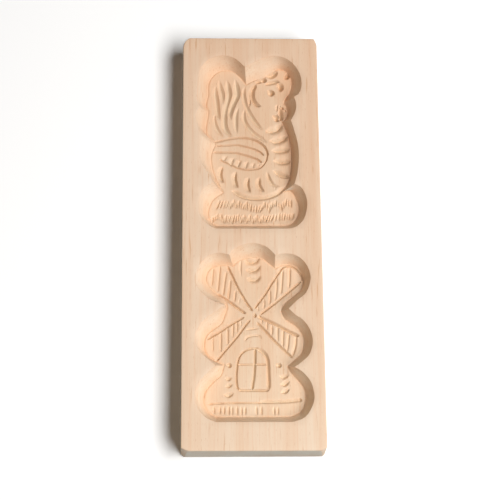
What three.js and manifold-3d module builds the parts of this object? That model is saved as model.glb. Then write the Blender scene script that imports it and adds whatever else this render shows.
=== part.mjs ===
// A two-figure biscuit mould for speculaas, carved by hand into one beech board.
//
// The board lies on its back with the carved face up. A rooster fills the far half and a windmill
// the near half. Each figure is a hollow with a flat floor and coved walls, and the relief on the
// floor is cut into it with a round gouge and a parting tool. All sizes are in millimetres, +Z is
// up, +Y points along the grain to the rooster's comb, and the origin is the middle of the back.

import * as THREE from 'three';
import { mergeVertices } from 'three/addons/utils/BufferGeometryUtils.js';
import Module from 'manifold-3d';

const wasm = await Module();
wasm.setup();

// Driving dimensions: the board
const BOARD_WIDTH = 90;
const BOARD_THICKNESS = 22;
const TOP_LAND = 13;
const MIDDLE_LAND = 10;
const BOTTOM_LAND = 18;
const EDGE_ROUNDING = 0.8;

// Driving dimensions: the figures, measured over their rims
const ROOSTER_WIDTH = 72;
const ROOSTER_HEIGHT = 123;
const WINDMILL_WIDTH = 74;
const WINDMILL_HEIGHT = 116;
const WINDMILL_OFFSET = 0.8;
const HOLLOW_DEPTH = 9;

// How hollow the coved wall is: 0 is a straight slope, 1 leaves the floor level
const COVE = 0.45;
const COVE_STEPS = 4;
const STEPS_PER_LOBE = 9;

// The carver's tools. Seen along its path, a cut reaches to the left and to the right of it. A cut
// is a V with its keel on the path or, where it is round, a channel between its two sides. At both
// ends it gets shallower over the taper.
const LINE = { left: 1.2, right: 0.7, depth: 1.8, taper: 2.2, round: false };
const SLAT = { left: 1.4, right: 0.7, depth: 1, taper: 2.4, round: false };
const BLADE = { left: 1.5, right: 0.85, depth: 1.3, taper: 3, round: false };
const CRESCENT = { left: 2.6, right: 1.1, depth: 2, taper: 4, round: false };
const SCALLOP = { left: 3.3, right: 1.8, depth: 2.3, taper: 3.5, round: false };
const BORDER = { left: 2.5, right: 1.1, depth: 1.7, taper: 5, round: false };
const SCOOP = { left: 2.7, right: 1.1, depth: 1.2, taper: 2.2, round: false };
const FLUTE = { left: 4.8, right: 0, depth: 1.8, taper: 8, round: true };
const GOUGE = { left: 1.8, right: 1.8, depth: 2.5, taper: 4, round: true };
const PIT = { left: 1.6, right: 1.7, depth: 2.5, taper: 1.8, round: true };

// How far outside of a blade of grass the tool enters and leaves
const BLADE_ENTRY = 0.9;

// The steps of a cut: one a share into its taper, then even ones, with the sides of a channel
const ENTRY_SHARE = 0.3;
const CUT_STEP = 3.5;
const ROUND_SIDES = 4;

// How far a cut reaches out of the surface that it enters
const OVERCUT = 0.5;

// How finely curves are measured, where points count as one, and the facets of an eased edge
const ARC_DIVISIONS = 20;
const WELD_DISTANCE = 1e-5;
const EDGE_FACETS = 2;

const BOARD_LENGTH = TOP_LAND + ROOSTER_HEIGHT + MIDDLE_LAND + WINDMILL_HEIGHT + BOTTOM_LAND;
const FLOOR_LEVEL = BOARD_THICKNESS - HOLLOW_DEPTH;

// The corners are sanded off more at the face than at the back. Each cut is given along X and Y
// at both levels, and its bow goes from 1, a flat facet, to 2, a full round.
const CORNERS = [
  { right: -1, far: 1, face: [5, 7], back: [2, 2], bow: 1.8 },
  { right: 1, far: 1, face: [2, 5], back: [1.6, 1.6], bow: 1.2 },
  { right: -1, far: -1, face: [5, 2.4], back: [1.8, 1.6], bow: 1.3 },
  { right: 1, far: -1, face: [4, 2.6], back: [1.6, 1.6], bow: 1.3 },
];
const CORNER_STEPS = 3;

// The drawings. Each figure is a ring of lobes, taken clockwise. A lobe runs from one notch to the
// next, along its rim at the face and along its foot on the floor, where the wall starts.
// X is measured from the board's centre line and Y from the figure's lowest point.
const ROOSTER_LOBES = [
  {
    name: 'tail',
    rim: [[-33.5, 85], [-35.3, 91], [-35, 99], [-34.5, 106], [-33, 113.5], [-29.5, 118.5], [-23.5, 122],
      [-17, 123], [-10, 120.5], [-3.5, 114.5]],
    foot: [[-28, 86], [-29.5, 91], [-28.2, 98], [-28, 106], [-25, 112], [-20, 115.8], [-14, 116.2],
      [-9, 113.8], [-2.5, 106]],
  },
  {
    name: 'comb and head',
    rim: [[-3.5, 114.5], [2.5, 118], [9, 121.3], [16.5, 123], [24, 121], [29.5, 116.2], [33.2, 109.5],
      [34.1, 102], [32.5, 96], [29, 93]],
    foot: [[-2.5, 106], [3.5, 109.3], [9.5, 111.2], [14, 114.5], [19.5, 117.5], [24.5, 115.8],
      [27.6, 111], [28.1, 105], [26.5, 99.8], [23, 93]],
  },
  {
    name: 'beak',
    rim: [[29, 93], [30, 89], [30.2, 85.6], [29.3, 81.4], [26.5, 76]],
    foot: [[23, 93], [24.3, 89.5], [25, 85.2], [23.8, 81.2], [21, 79]],
  },
  {
    name: 'breast',
    rim: [[26.5, 76], [28.5, 69], [30.7, 59.7], [31.3, 52], [30.8, 43], [29.4, 35.7], [28, 31]],
    foot: [[21, 79], [23.5, 73.2], [26, 65.6], [27, 56], [26.7, 46], [25.2, 37], [21, 29]],
  },
  {
    name: 'right end of the ground',
    rim: [[28, 31], [32.5, 28.2], [35.4, 22], [35.9, 15], [33.8, 7], [29.5, 2], [24.5, 0]],
    foot: [[21, 29], [25.8, 29.6], [29.2, 24.6], [31.2, 17.4], [29.8, 10.6], [26, 6.3], [22, 5]],
  },
  {
    name: 'ground line',
    rim: [[24.5, 0], [-24, 0]],
    foot: [[22, 5], [-23.5, 5]],
  },
  {
    name: 'left end of the ground',
    rim: [[-24, 0], [-29.5, 3.7], [-33.3, 9], [-34.4, 16], [-33, 24], [-29.5, 29], [-24.5, 31.5]],
    foot: [[-23.5, 5], [-27, 8.3], [-28.3, 14], [-26.3, 20.8], [-23, 25], [-18.5, 28]],
  },
  {
    name: 'belly',
    rim: [[-24.5, 31.5], [-27, 36.2], [-30.5, 42], [-33.2, 48], [-33.6, 56], [-33, 65.5]],
    foot: [[-18.5, 28], [-21.7, 34], [-24.6, 41.5], [-26.2, 49], [-26, 55.5], [-23.5, 62]],
  },
  {
    name: 'saddle',
    rim: [[-33, 65.5], [-34.4, 69], [-35.8, 74], [-36, 79], [-35.2, 82.5], [-33.5, 85]],
    foot: [[-23.5, 62], [-25.5, 66], [-29, 69], [-29.7, 74], [-28.8, 79.5], [-28, 86]],
  },
];

const WINDMILL_LOBES = [
  {
    name: 'upper left sail',
    rim: [[-18, 75], [-25.7, 78], [-31.5, 82.2], [-35.3, 88], [-35.8, 95], [-32.8, 102.7], [-27.5, 107.6],
      [-21, 109.4], [-14.5, 108]],
    foot: [[-16, 75.5], [-17.8, 81], [-22.5, 84.2], [-27.5, 89.3], [-29.5, 94.7], [-27.9, 100.4],
      [-24, 103.4], [-18, 104.2], [-12, 103.8]],
  },
  {
    name: 'cap',
    rim: [[-14.5, 108], [-12, 111.6], [-6.5, 114.6], [1.5, 116], [9, 113.6], [14.8, 108]],
    foot: [[-12, 103.8], [-7.6, 107.6], [-1, 109.3], [6.7, 108.6], [11, 105.3], [15, 101.8]],
  },
  {
    name: 'upper right sail',
    rim: [[14.8, 108], [21, 109.1], [27.5, 108], [33.2, 103.7], [36.5, 97], [36.9, 91], [33.9, 83],
      [28.2, 78], [22.6, 72.5]],
    foot: [[15, 101.8], [19.6, 104.2], [25.4, 104.6], [30.6, 101.4], [32.9, 94.5], [31.5, 87.7],
      [26.9, 83.4], [20.8, 78.3], [18.4, 73.4]],
  },
  {
    name: 'lower right sail',
    rim: [[22.6, 72.5], [26.7, 68.5], [32, 64.6], [36, 58.4], [37.5, 50.6], [35.3, 43], [30.5, 38],
      [25.7, 34.6]],
    foot: [[18.4, 73.4], [20.9, 68.1], [27.2, 63.8], [31.5, 58.2], [32.5, 52], [30.8, 45.4],
      [26.5, 41.4], [22, 37.4]],
  },
  {
    name: 'right end of the ground',
    rim: [[25.7, 34.6], [31, 31.1], [35.9, 24.5], [37.7, 15.5], [35.4, 8], [31, 2.5], [24, 0]],
    foot: [[22, 37.4], [24.4, 32.5], [29, 27.4], [32.5, 21.5], [32.6, 15], [29.8, 8.4], [23, 4.8]],
  },
  {
    name: 'ground line',
    rim: [[24, 0], [-23.5, 0]],
    foot: [[23, 4.8], [-23, 4.8]],
  },
  {
    name: 'left end of the ground',
    rim: [[-23.5, 0], [-30, 3.1], [-34.6, 9], [-36.2, 16], [-34.8, 22.6], [-30.5, 29], [-23.3, 35.6]],
    foot: [[-23, 4.8], [-28, 7.8], [-31, 14], [-29.8, 21], [-25, 27.2], [-20.3, 31.5], [-18, 38.1]],
  },
  {
    name: 'lower left sail',
    rim: [[-23.3, 35.6], [-28.3, 39.8], [-34, 45.5], [-36.2, 53.3], [-34.3, 60.1], [-29.5, 66],
      [-23.8, 70.2], [-18, 75]],
    foot: [[-18, 38.1], [-25, 41.3], [-29.8, 46], [-30.8, 52], [-28.8, 58], [-24, 62], [-19.3, 66.1],
      [-16, 75.5]],
  },
];

// The relief of the rooster: each cut is the tool, its path and, where it isn't 1, its size
const ROOSTER_CUTS = [
  // tail feathers and neck, each flute left of its crest
  [FLUTE, [[-19.1, 79], [-19.8, 84.5], [-20.3, 91], [-21.1, 97.2], [-22.6, 105]], 0.95],
  [FLUTE, [[-17.2, 90.5], [-16.7, 96], [-17, 100], [-18.6, 105], [-20.2, 109.4]], 0.9],
  [FLUTE, [[-11.6, 68], [-13.9, 72.4], [-15.1, 77], [-15, 83], [-13.8, 89], [-12.4, 95], [-12, 100],
    [-13.3, 106], [-15.6, 109.6]]],
  [FLUTE, [[-12.4, 79.5], [-11.4, 84.6], [-9.4, 90.5], [-6.7, 96.5], [-6.2, 100], [-7.2, 105.4],
    [-9.6, 110]], 1.1],
  [FLUTE, [[-8.1, 69.4], [-8, 75], [-7.9, 82], [-7.3, 89.4]], 0.8],
  [FLUTE, [[-17, 67.4], [-19.6, 71.4], [-21.6, 75.8], [-22.7, 80], [-23, 85]], 0.7],
  [FLUTE, [[9, 72.6], [5.6, 78], [3.3, 81.6], [0.4, 87], [-1.6, 92.5], [-2.8, 98.6],
    [-2.8, 104.6]], 0.75],
  [FLUTE, [[11.4, 63.4], [8.8, 67.3], [5.4, 69.8], [2.4, 72.5], [-0.6, 76.4], [-2.6, 81],
    [-3.3, 88]], 0.75],
  [CRESCENT, [[-0.6, 89], [0.2, 94], [0.2, 99], [1.2, 104]], 0.6],
  // cheek, eye, brow, comb, beak and wattle
  [GOUGE, [[7.4, 90], [4.4, 91.3], [2.6, 93.7], [1.7, 96.7], [1.6, 100.1], [2.4, 103], [4.4, 106.6]]],
  [PIT, [[13.9, 97.6], [14.1, 99.8], [13.4, 102.4]], 1.2],
  [CRESCENT, [[9.8, 106], [12, 107.3], [15.5, 107.9], [20.4, 107.2]], 0.6],
  [GOUGE, [[21.6, 101], [21.8, 103.6], [21.2, 105.8], [19.2, 108]], 0.9],
  [GOUGE, [[4, 107], [7.4, 108.8], [9.6, 110.6], [11.4, 113]]],
  [GOUGE, [[12.4, 113], [15.2, 113.2], [17.8, 114.4], [20.6, 116.8]], 1.05],
  [PIT, [[14.2, 116], [15.4, 117.6]], 0.7],
  [PIT, [[22.8, 112.6], [25, 112.6], [27.6, 113.6]], 0.95],
  [LINE, [[23.9, 90.6], [23.5, 93], [25.1, 96.4], [27.2, 99.6]], 0.9],
  [SCALLOP, [[16.8, 78.2], [17.8, 80.6], [17.8, 84.6]], 1.1],
  [SLAT, [[21, 79.6], [20.9, 84.6], [21.4, 89]], 1.1],
  [PIT, [[20.8, 87.6], [22.4, 88.9]], 0.75],
  [PIT, [[22, 80.4], [22.4, 82.8]], 0.7],
  [PIT, [[23.3, 85.9], [24.1, 87.1]], 0.5],
  [SLAT, [[18, 86], [18.4, 91.6]], 1.1],
  [SLAT, [[19.6, 86], [20.2, 91]], 0.8],
  // breast, from the neck down to the belly
  [SCALLOP, [[9.8, 71.8], [13, 71.3], [16, 71.5], [18.6, 72.8], [20.6, 75], [21.6, 77.2]]],
  [SCALLOP, [[12.4, 64.8], [16, 63.9], [19.4, 64.2], [22.6, 65.8], [25.4, 68.6]]],
  [SCALLOP, [[13.8, 57.7], [17.5, 57], [21, 57.2], [24, 57.8], [26.6, 59.2]], 0.95],
  [SCALLOP, [[14.6, 50.6], [18, 49.4], [21.5, 48.9], [24.8, 49.4], [27, 51]], 0.9],
  [BORDER, [[14.7, 43.8], [17.5, 41], [20.5, 39.2], [23.5, 38.6], [26.5, 39]], 1.8],
  [BORDER, [[19, 32.8], [15.2, 33.8], [13.4, 36.2], [12, 39.4], [11, 43.4]], 0.9],
  [SLAT, [[16.3, 29.4], [16.2, 33]], 0.6],
  // belly, and the line under it
  [CRESCENT, [[-17.6, 34.8], [-19.1, 37.6], [-19.7, 41], [-19.2, 44], [-18.2, 46.4]]],
  [CRESCENT, [[-8.1, 31.4], [-9.4, 34], [-10.1, 37], [-10.1, 40], [-9.5, 43]]],
  [CRESCENT, [[-0.2, 28], [-1.3, 31], [-1.9, 34.4], [-1.2, 39]]],
  [CRESCENT, [[9, 28.8], [6.9, 31.4], [5.6, 34.6], [6, 39]]],
  [BORDER, [[-13.4, 29.4], [-10.4, 27.7], [-7.2, 25.4], [-3, 24.1], [1, 23.6], [5, 23.5], [9.2, 23.9],
    [13.4, 25.1], [17.4, 26.9], [21, 29.7], [23.4, 32.2]], 1.15],
  // wing: its outline, two long lines and a row of short feathers
  [LINE, [[11.2, 53], [10.9, 57], [9.8, 59.8], [7.8, 62.3], [4.4, 64.7], [0.2, 66.4], [-5, 67.2],
    [-11, 66.7], [-15, 66], [-19.2, 64.9], [-24.6, 63.6]], 1.6],
  [LINE, [[-20.8, 51.6], [-14.4, 48.3], [-10.8, 46.5], [-6.4, 44.9], [-1.6, 44.3], [3, 44.8], [6.2, 45.9],
    [8.6, 48.2], [10.3, 51.2], [11, 55.4]], 1.4],
  [LINE, [[9, 54.2], [6.4, 56.8], [2.8, 58.8], [-1.3, 60.2], [-5.5, 61.3], [-9.6, 62], [-15, 61.6],
    [-19.2, 61.3], [-23.6, 61]], 1.5],
  [LINE, [[7.6, 49.2], [4.4, 51.7], [1.6, 52.9], [-2.2, 54.3], [-5.5, 55.2], [-8.8, 56.1], [-12.4, 56.5],
    [-20.6, 56.5], [-25.2, 56.5]], 1.4],
  [SCOOP, [[-18.6, 49.6], [-16.8, 51.2], [-15, 53.9]], 0.9],
  [SCOOP, [[-12.8, 46], [-11.8, 48.6], [-10.6, 52.6]], 1.1],
  [SCOOP, [[-8.4, 44.8], [-7.2, 47.6], [-5.8, 51.2]], 1.1],
  [SCOOP, [[-3, 44.4], [-2.2, 46.8], [-1.2, 50.2]]],
  [SCOOP, [[1.6, 44.4], [2.3, 46.6], [3, 49.4]], 0.9],
  [SCOOP, [[5.6, 46], [6.2, 48.4]], 0.6],
];

// The rooster's grass in two rows, each blade from its foot to its tip
const ROOSTER_GRASS = [
  [[-22.7, 16.5], [-20.4, 22.3]], [[-17.9, 17.6], [-16.6, 22.1]], [[-16, 17.9], [-14.7, 22.1]],
  [[-13.9, 17], [-12.5, 21.2]], [[-11.3, 19], [-11, 22.8]], [[-10, 17.4], [-9.1, 21.2]],
  [[-7.7, 17.9], [-7.6, 22.1]], [[-5.2, 16.6], [-4.5, 19.7]], [[-2.5, 16.1], [-2.6, 21.7]],
  [[-0.4, 15], [0, 19.4]], [[3.3, 14.4], [3.6, 18.5]], [[5.8, 14.7], [8.3, 19.7]], [[9, 18], [9, 21.2]],
  [[11.9, 14.5], [12.8, 20.5]], [[13.9, 18.1], [14.4, 21.4]], [[16.6, 19], [16.4, 22.4]],
  [[20.3, 15.7], [19.4, 20.2]], [[22.6, 19], [23.3, 23.4]], [[26.4, 18], [26.2, 22.9]],
  [[-24.8, 7.7], [-24.9, 10.8]], [[-21.9, 9.4], [-21.7, 13]], [[-19.6, 8.3], [-19.4, 12.8]],
  [[-17.9, 7.2], [-18.3, 10.2]], [[-16.9, 7.2], [-16, 12.1]], [[-14.4, 7.4], [-13.3, 12]],
  [[-12.3, 6.4], [-11, 11.9]], [[-8.4, 8], [-8.1, 12.8]], [[-6.9, 6.8], [-5.6, 11.2]],
  [[-4, 8.4], [-4.2, 12.4]], [[-3, 7], [-1.7, 11]], [[-0.4, 8], [-0.4, 12.6]], [[1.2, 6.6], [1.9, 10.6]],
  [[3.7, 8], [3.9, 12.3]], [[5.9, 7], [6.2, 10]], [[7.9, 8], [8.2, 12.3]], [[9.3, 7.3], [11.1, 12]],
  [[12.9, 8], [14.5, 12.3]], [[18.5, 8.6], [18.6, 13.3]], [[21.5, 9], [22.2, 13.2]],
  [[24.9, 9.2], [25.1, 12.8]], [[26.9, 9.5], [27.9, 13.3]],
];

// The relief of the windmill
const WINDMILL_CUTS = [
  // upper sails: their edges, the round tip and the slats
  [LINE, [[0.6, 73.2], [-4, 79.8], [-9.2, 89.4], [-13.6, 99.2], [-15.8, 103.8]]],
  [LINE, [[-2.6, 70.9], [-7.6, 74.4], [-13.8, 79.1], [-20.3, 83.5], [-23, 84.8]], 1.1],
  [SLAT, [[-25.8, 89.4], [-25.2, 95], [-24.6, 102.4]], 0.8],
  [SLAT, [[-21.8, 85.8], [-21.2, 92], [-20.2, 103.8]]],
  [SLAT, [[-18.3, 83.2], [-17.6, 90], [-16.2, 100]]],
  [SLAT, [[-14.8, 80.6], [-14.2, 87], [-13.6, 94.6]]],
  [SLAT, [[-11.1, 79], [-10.7, 83], [-10.2, 87.4]], 0.95],
  [SLAT, [[-8.6, 77.6], [-7.6, 82.2]], 0.6],
  [LINE, [[1.6, 74.6], [3.4, 77.4], [6.1, 81.1], [8.8, 84.9], [11.8, 90], [15.2, 95.2], [17.6, 98.9],
    [19.9, 102], [22.6, 103.3], [25.6, 102.8], [28.3, 101.3], [30.3, 99], [31.8, 96.4], [32.4, 93]]],
  [LINE, [[5, 70.8], [9.6, 74.4], [15.6, 79.1], [22.2, 84.6], [28.9, 90.4], [32, 93.2]]],
  [SLAT, [[24, 88.6], [24.6, 95], [24.7, 102.4]]],
  [SLAT, [[18.7, 84.4], [19.6, 92], [20.2, 101]]],
  [SLAT, [[15, 80.4], [16.1, 88], [16.3, 96]], 0.9],
  [SLAT, [[11.1, 77.4], [11.8, 81.6], [11.7, 88]], 0.9],
  [SLAT, [[7.4, 74.2], [8, 78], [7.5, 82]], 0.8],
  [SLAT, [[3.9, 72.8], [3.9, 77]], 0.7],
  // lower sails: their edges and the slats
  [LINE, [[-29, 54.2], [-25.5, 56.5], [-21, 59.2], [-12.5, 64.9], [-5, 69.4]]],
  [LINE, [[-23.4, 39.6], [-17.2, 47.3], [-9.6, 56.4], [-5, 62.8], [-1.2, 67.6]]],
  [SLAT, [[-24.8, 46.4], [-25, 52], [-24.8, 56.8]], 0.75],
  [SLAT, [[-20, 46], [-19.8, 53], [-19.9, 59.6]]],
  [SLAT, [[-15.6, 50.8], [-15.5, 57], [-15.5, 63]]],
  [SLAT, [[-12.3, 55.8], [-12.1, 61], [-12.2, 65]], 0.9],
  [SLAT, [[-9.7, 58.8], [-9.5, 63], [-9.7, 66.8]], 0.85],
  [SLAT, [[-7, 62.6], [-7, 68]], 0.65],
  [LINE, [[30, 56.8], [24, 59.7], [18.6, 62.7], [14, 65.3], [9, 67.6], [4, 69.7]], 1.3],
  [LINE, [[25.6, 42.6], [22.2, 45.8], [15.2, 52.7], [8.8, 59.8], [2.6, 66.4]]],
  [SLAT, [[6.1, 64.2], [6.3, 68.4]], 0.7],
  [SLAT, [[9.4, 60.2], [9.6, 66.6]], 0.8],
  [SLAT, [[12.4, 56.8], [12.8, 60], [12.7, 64.4]]],
  [SLAT, [[16.2, 53], [16.3, 58.8], [16.3, 63.6]]],
  [SLAT, [[19.5, 49.2], [19.7, 55.4], [20, 61.2]]],
  [SLAT, [[22, 46.4], [22.9, 52.1], [23.5, 58.6]], 1.05],
  [SLAT, [[25.2, 43.2], [27.4, 50], [28.1, 57.2]], 1.15],
  // hub, and the crescents above and below it
  [PIT, [[0.4, 70.6], [2.6, 70.9]], 0.9],
  [PIT, [[3.4, 69.2], [5.8, 70]], 0.8],
  [SCALLOP, [[-4, 107.6], [-2.6, 105.6], [0.5, 104.8], [2.9, 105.4], [4.4, 106.6], [6, 108.6],
    [8.4, 109.2]], 0.85],
  [SCALLOP, [[-3.6, 100.4], [-0.5, 99.5], [2, 99.4], [4.4, 100.8], [6.4, 103.2]], 0.85],
  [SCALLOP, [[-3.2, 94.6], [0, 93.1], [2.8, 93], [4.6, 94.2], [6.4, 96.4]], 0.85],
  [FLUTE, [[-6.3, 95.6], [-6.2, 103.6], [-6.1, 109.4]], 0.5],
  [CRESCENT, [[-4.6, 60.8], [-1.5, 61.1], [4.4, 61.8]], 0.5],
  [CRESCENT, [[-5, 53], [-2.6, 56], [3.4, 56.8], [6, 54.6]], 0.5],
  // door with its cross, and the marks on both sides of it
  [LINE, [[-8.2, 21.4], [-9.6, 23.6], [-10.1, 26.4], [-10.2, 31.4], [-9.8, 36.3], [-9.1, 40.8],
    [-7.3, 44.8], [-3.4, 47.8], [1.6, 48.7], [4.4, 48.4]], 1.05],
  [LINE, [[-9.6, 22.4], [-8.2, 21.6], [0, 21.4], [8.6, 21.5], [10.2, 22.6]]],
  [GOUGE, [[9.2, 21.5], [10, 24], [9.9, 32], [9.7, 39], [9, 42.8], [7.4, 45.8], [4.6, 47.8],
    [1.6, 48.6]], 0.75],
  [LINE, [[-0.4, 21.6], [0.2, 26.2], [0.8, 29.6], [1.2, 33.8], [1.5, 38], [1.7, 42.6], [1.7, 49]], 1.1],
  [SLAT, [[-9.8, 37.9], [0.1, 37.9], [10.2, 38]]],
  [PIT, [[-15.4, 37.4], [-14.2, 38.6]], 1.15],
  [PIT, [[16.2, 37.4], [17.6, 38.6]], 1.15],
  [CRESCENT, [[-17.9, 29.4], [-15.5, 28.4], [-13, 29.8]], 0.8],
  [CRESCENT, [[-17.6, 24.2], [-15.2, 24], [-12.7, 25.6]], 0.85],
  [CRESCENT, [[-18.6, 19], [-15.4, 17.8], [-12, 20]]],
  [CRESCENT, [[16.4, 31], [19.4, 29.5], [23, 31.7]], 0.9],
  [CRESCENT, [[16.8, 25.3], [20.1, 24.9], [23.4, 27.6]], 0.95],
  [CRESCENT, [[17.2, 20], [20.4, 20.3], [23.2, 22.8]], 0.9],
  // ground line
  [LINE, [[-28.8, 12.8], [-21.4, 13.2], [-10, 13.6], [2, 13.5], [12, 13.7], [20, 13.9], [26, 14.3]], 0.7],
  [BORDER, [[3, 13.7], [12, 13.9], [20, 14.1], [26, 14.6], [31.4, 15.1]], 0.9],
  [PIT, [[28.4, 14.6], [30.6, 15.6]], 0.75],
];

const WINDMILL_GRASS = [
  [[-24, 7], [-24.4, 10.8]], [[-20.6, 6.8], [-20.7, 11]], [[-17.9, 6.6], [-18, 11]],
  [[-15, 6.4], [-15.1, 11.2]], [[-12.9, 6.2], [-13, 11]], [[-9.8, 6.2], [-9.9, 11.2]],
  [[-7.1, 6.2], [-7.2, 10.8]], [[-4.7, 6.4], [-4.8, 11]], [[2.4, 6.2], [2.2, 11]],
  [[5.4, 6.1], [5.3, 11]], [[13.4, 6], [13.2, 10.6]], [[15.8, 6.2], [15.6, 10.8]],
];

// Blades of grass as cuts. The tool enters and leaves a little outside of each blade.
function blades(feetAndTips) {
  return feetAndTips.map(([foot, tip]) => {
    const spare = BLADE_ENTRY / Math.hypot(tip[0] - foot[0], tip[1] - foot[1]);
    const x = spare * (tip[0] - foot[0]);
    const y = spare * (tip[1] - foot[1]);
    return [BLADE, [[foot[0] - x, foot[1] - y], [tip[0] + x, tip[1] + y]]];
  });
}

const ROOSTER = {
  lobes: ROOSTER_LOBES,
  cuts: [...ROOSTER_CUTS, ...blades(ROOSTER_GRASS)],
};
const WINDMILL = {
  lobes: WINDMILL_LOBES,
  cuts: [...WINDMILL_CUTS, ...blades(WINDMILL_GRASS)],
};

// Points at even distances along a smooth curve, or along a straight line where there are only two
function along(points, steps) {
  const curve = new THREE.SplineCurve(points.map(([x, y]) => new THREE.Vector2(x, y)));
  curve.arcLengthDivisions = ARC_DIVISIONS * points.length;
  return curve.getSpacedPoints(steps);
}

// The ring of points of a whole outline, counter-clockwise, with one point at every notch
function outline(lobes, side) {
  const ring = lobes.flatMap((lobe) => along(lobe[side], STEPS_PER_LOBE).slice(0, -1));
  return ring.reverse();
}

// Puts a drawing on the board: its rim gets the wanted width and height
function placement(lobes, width, height, centreX, bottomY) {
  const drawn = new THREE.Box2().setFromPoints(outline(lobes, 'rim'));
  const size = drawn.getSize(new THREE.Vector2());
  const middle = drawn.getCenter(new THREE.Vector2());
  return (point) => new THREE.Vector2(
    centreX + (point.x - middle.x) * width / size.x,
    bottomY + (point.y - drawn.min.y) * height / size.y,
  );
}

// A solid from a BufferGeometry's or a list's points and faces
function solidFrom(points, faces) {
  const geometry = new THREE.BufferGeometry().setFromPoints(points);
  geometry.setIndex(faces.flat());
  return solidFromGeometry(geometry);
}

function solidFromGeometry(source) {
  const geometry = source.clone();
  geometry.deleteAttribute('normal');
  geometry.deleteAttribute('uv');
  const merged = mergeVertices(geometry, WELD_DISTANCE);
  return new wasm.Manifold(new wasm.Mesh({
    numProp: 3,
    vertProperties: merged.attributes.position.array,
    triVerts: Uint32Array.from(merged.index.array),
  }));
}

function geometryFromSolid(solid) {
  const mesh = solid.getMesh();
  const geometry = new THREE.BufferGeometry();
  geometry.setAttribute('position', new THREE.BufferAttribute(new Float32Array(mesh.vertProperties), 3));
  geometry.setIndex(new THREE.BufferAttribute(new Uint32Array(mesh.triVerts), 1));
  const faceted = geometry.toNonIndexed();
  faceted.computeVertexNormals();
  return faceted;
}

// Faces that join two rings of equal length, the second one further along
function band(first, second, count) {
  return Array.from({ length: count }, (_, i) => {
    const next = (i + 1) % count;
    return [first + i, first + next, second + next, first + i, second + next, second + i];
  });
}

// A closed solid through level rings, from the lowest to the highest
function levelLoft(rings) {
  const count = rings[0].length;
  const flat = (ring) => ring.map((p) => new THREE.Vector2(p.x, p.y));
  const bottom = THREE.ShapeUtils.triangulateShape(flat(rings[0]), []);
  const top = THREE.ShapeUtils.triangulateShape(flat(rings.at(-1)), []);
  const last = count * (rings.length - 1);
  const faces = [
    ...bottom.map(([a, b, c]) => [a, c, b]),
    ...rings.slice(1).flatMap((_, i) => band(i * count, (i + 1) * count, count)),
    ...top.map((face) => face.map((index) => index + last)),
  ];
  return solidFrom(rings.flat(), faces);
}

// A closed solid through rings across a path, with a point at each end
function spindle(start, rings, end) {
  const count = rings[0].length;
  const last = 1 + count * (rings.length - 1);
  const tip = last + count;
  const ringAt = (base) => Array.from({ length: count }, (_, i) => [base + i, base + (i + 1) % count]);
  const faces = [
    ...ringAt(1).map(([a, b]) => [0, b, a]),
    ...rings.slice(1).flatMap((_, i) => band(1 + i * count, 1 + (i + 1) * count, count)),
    ...ringAt(last).map(([a, b]) => [a, b, tip]),
  ];
  return solidFrom([start, ...rings.flat(), end], faces);
}

// Share of the wall's height that is reached at a share of its run
function coveRise(share) {
  return share * (1 - COVE * (1 - share));
}

// The hollow of a figure, from the foot of its wall on the floor to its rim at the face
function hollow(lobes, place) {
  const foot = outline(lobes, 'foot').map(place);
  const rim = outline(lobes, 'rim').map(place);
  const rings = [];
  for (let step = 0; step <= COVE_STEPS; step += 1) {
    const share = step / COVE_STEPS;
    const level = FLOOR_LEVEL + HOLLOW_DEPTH * coveRise(share);
    rings.push(foot.map((point, i) => {
      const p = point.clone().lerp(rim[i], share);
      return new THREE.Vector3(p.x, p.y, level);
    }));
  }
  rings.push(rim.map((p) => new THREE.Vector3(p.x, p.y, BOARD_THICKNESS + OVERCUT)));
  return levelLoft(rings);
}

// The section of a cut whose keel lies at a level, as pairs of side and level from the floor,
// counter-clockwise looking back along the path
function section(tool, keel) {
  const reach = OVERCUT - keel;
  if (!tool.round) {
    const open = reach / tool.depth;
    return [[tool.left * open, OVERCUT], [-tool.right * open, OVERCUT], [0, keel]];
  }
  const open = reach / (tool.depth + OVERCUT);
  const middle = open * (tool.left - tool.right) / 2;
  const half = open * (tool.left + tool.right) / 2;
  const arc = Array.from({ length: ROUND_SIDES + 1 }, (_, i) => {
    const angle = Math.PI * i / ROUND_SIDES;
    return [middle - half * Math.cos(angle), OVERCUT - reach * Math.sin(angle)];
  });
  return [arc.at(-1), ...arc.slice(0, -1)];
}

// A tool's cut at another size
function resized(tool, size) {
  return { ...tool, left: size * tool.left, right: size * tool.right, depth: size * tool.depth };
}

// One stroke of a tool: it enters the floor, runs at full depth and comes out again
function stroke(tool, path, place) {
  const placed = path.map(([x, y]) => place(new THREE.Vector2(x, y)));
  const curve = new THREE.SplineCurve(placed);
  const length = curve.getLength();
  const taper = Math.min(tool.taper, length / 2) / length;
  const full = 1 - 2 * taper;
  const runs = Math.ceil(length * full / CUT_STEP);
  const stations = [ENTRY_SHARE * taper];
  for (let i = 0; i <= runs; i += 1) {
    stations.push(taper + full * (runs ? i / runs : 0));
  }
  stations.push(1 - ENTRY_SHARE * taper);
  const rings = stations.map((share) => {
    const into = Math.min(1, share / taper, (1 - share) / taper);
    const keel = OVERCUT - (OVERCUT + tool.depth) * Math.sqrt(into);
    const middle = curve.getPointAt(share);
    const ahead = curve.getTangentAt(share);
    return section(tool, keel).map(([side, level]) => new THREE.Vector3(
      middle.x - ahead.y * side,
      middle.y + ahead.x * side,
      FLOOR_LEVEL + level,
    ));
  });
  const tipAt = (share) => {
    const p = curve.getPointAt(share);
    return new THREE.Vector3(p.x, p.y, FLOOR_LEVEL + OVERCUT);
  };
  return spindle(tipAt(0), rings, tipAt(1));
}

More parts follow.
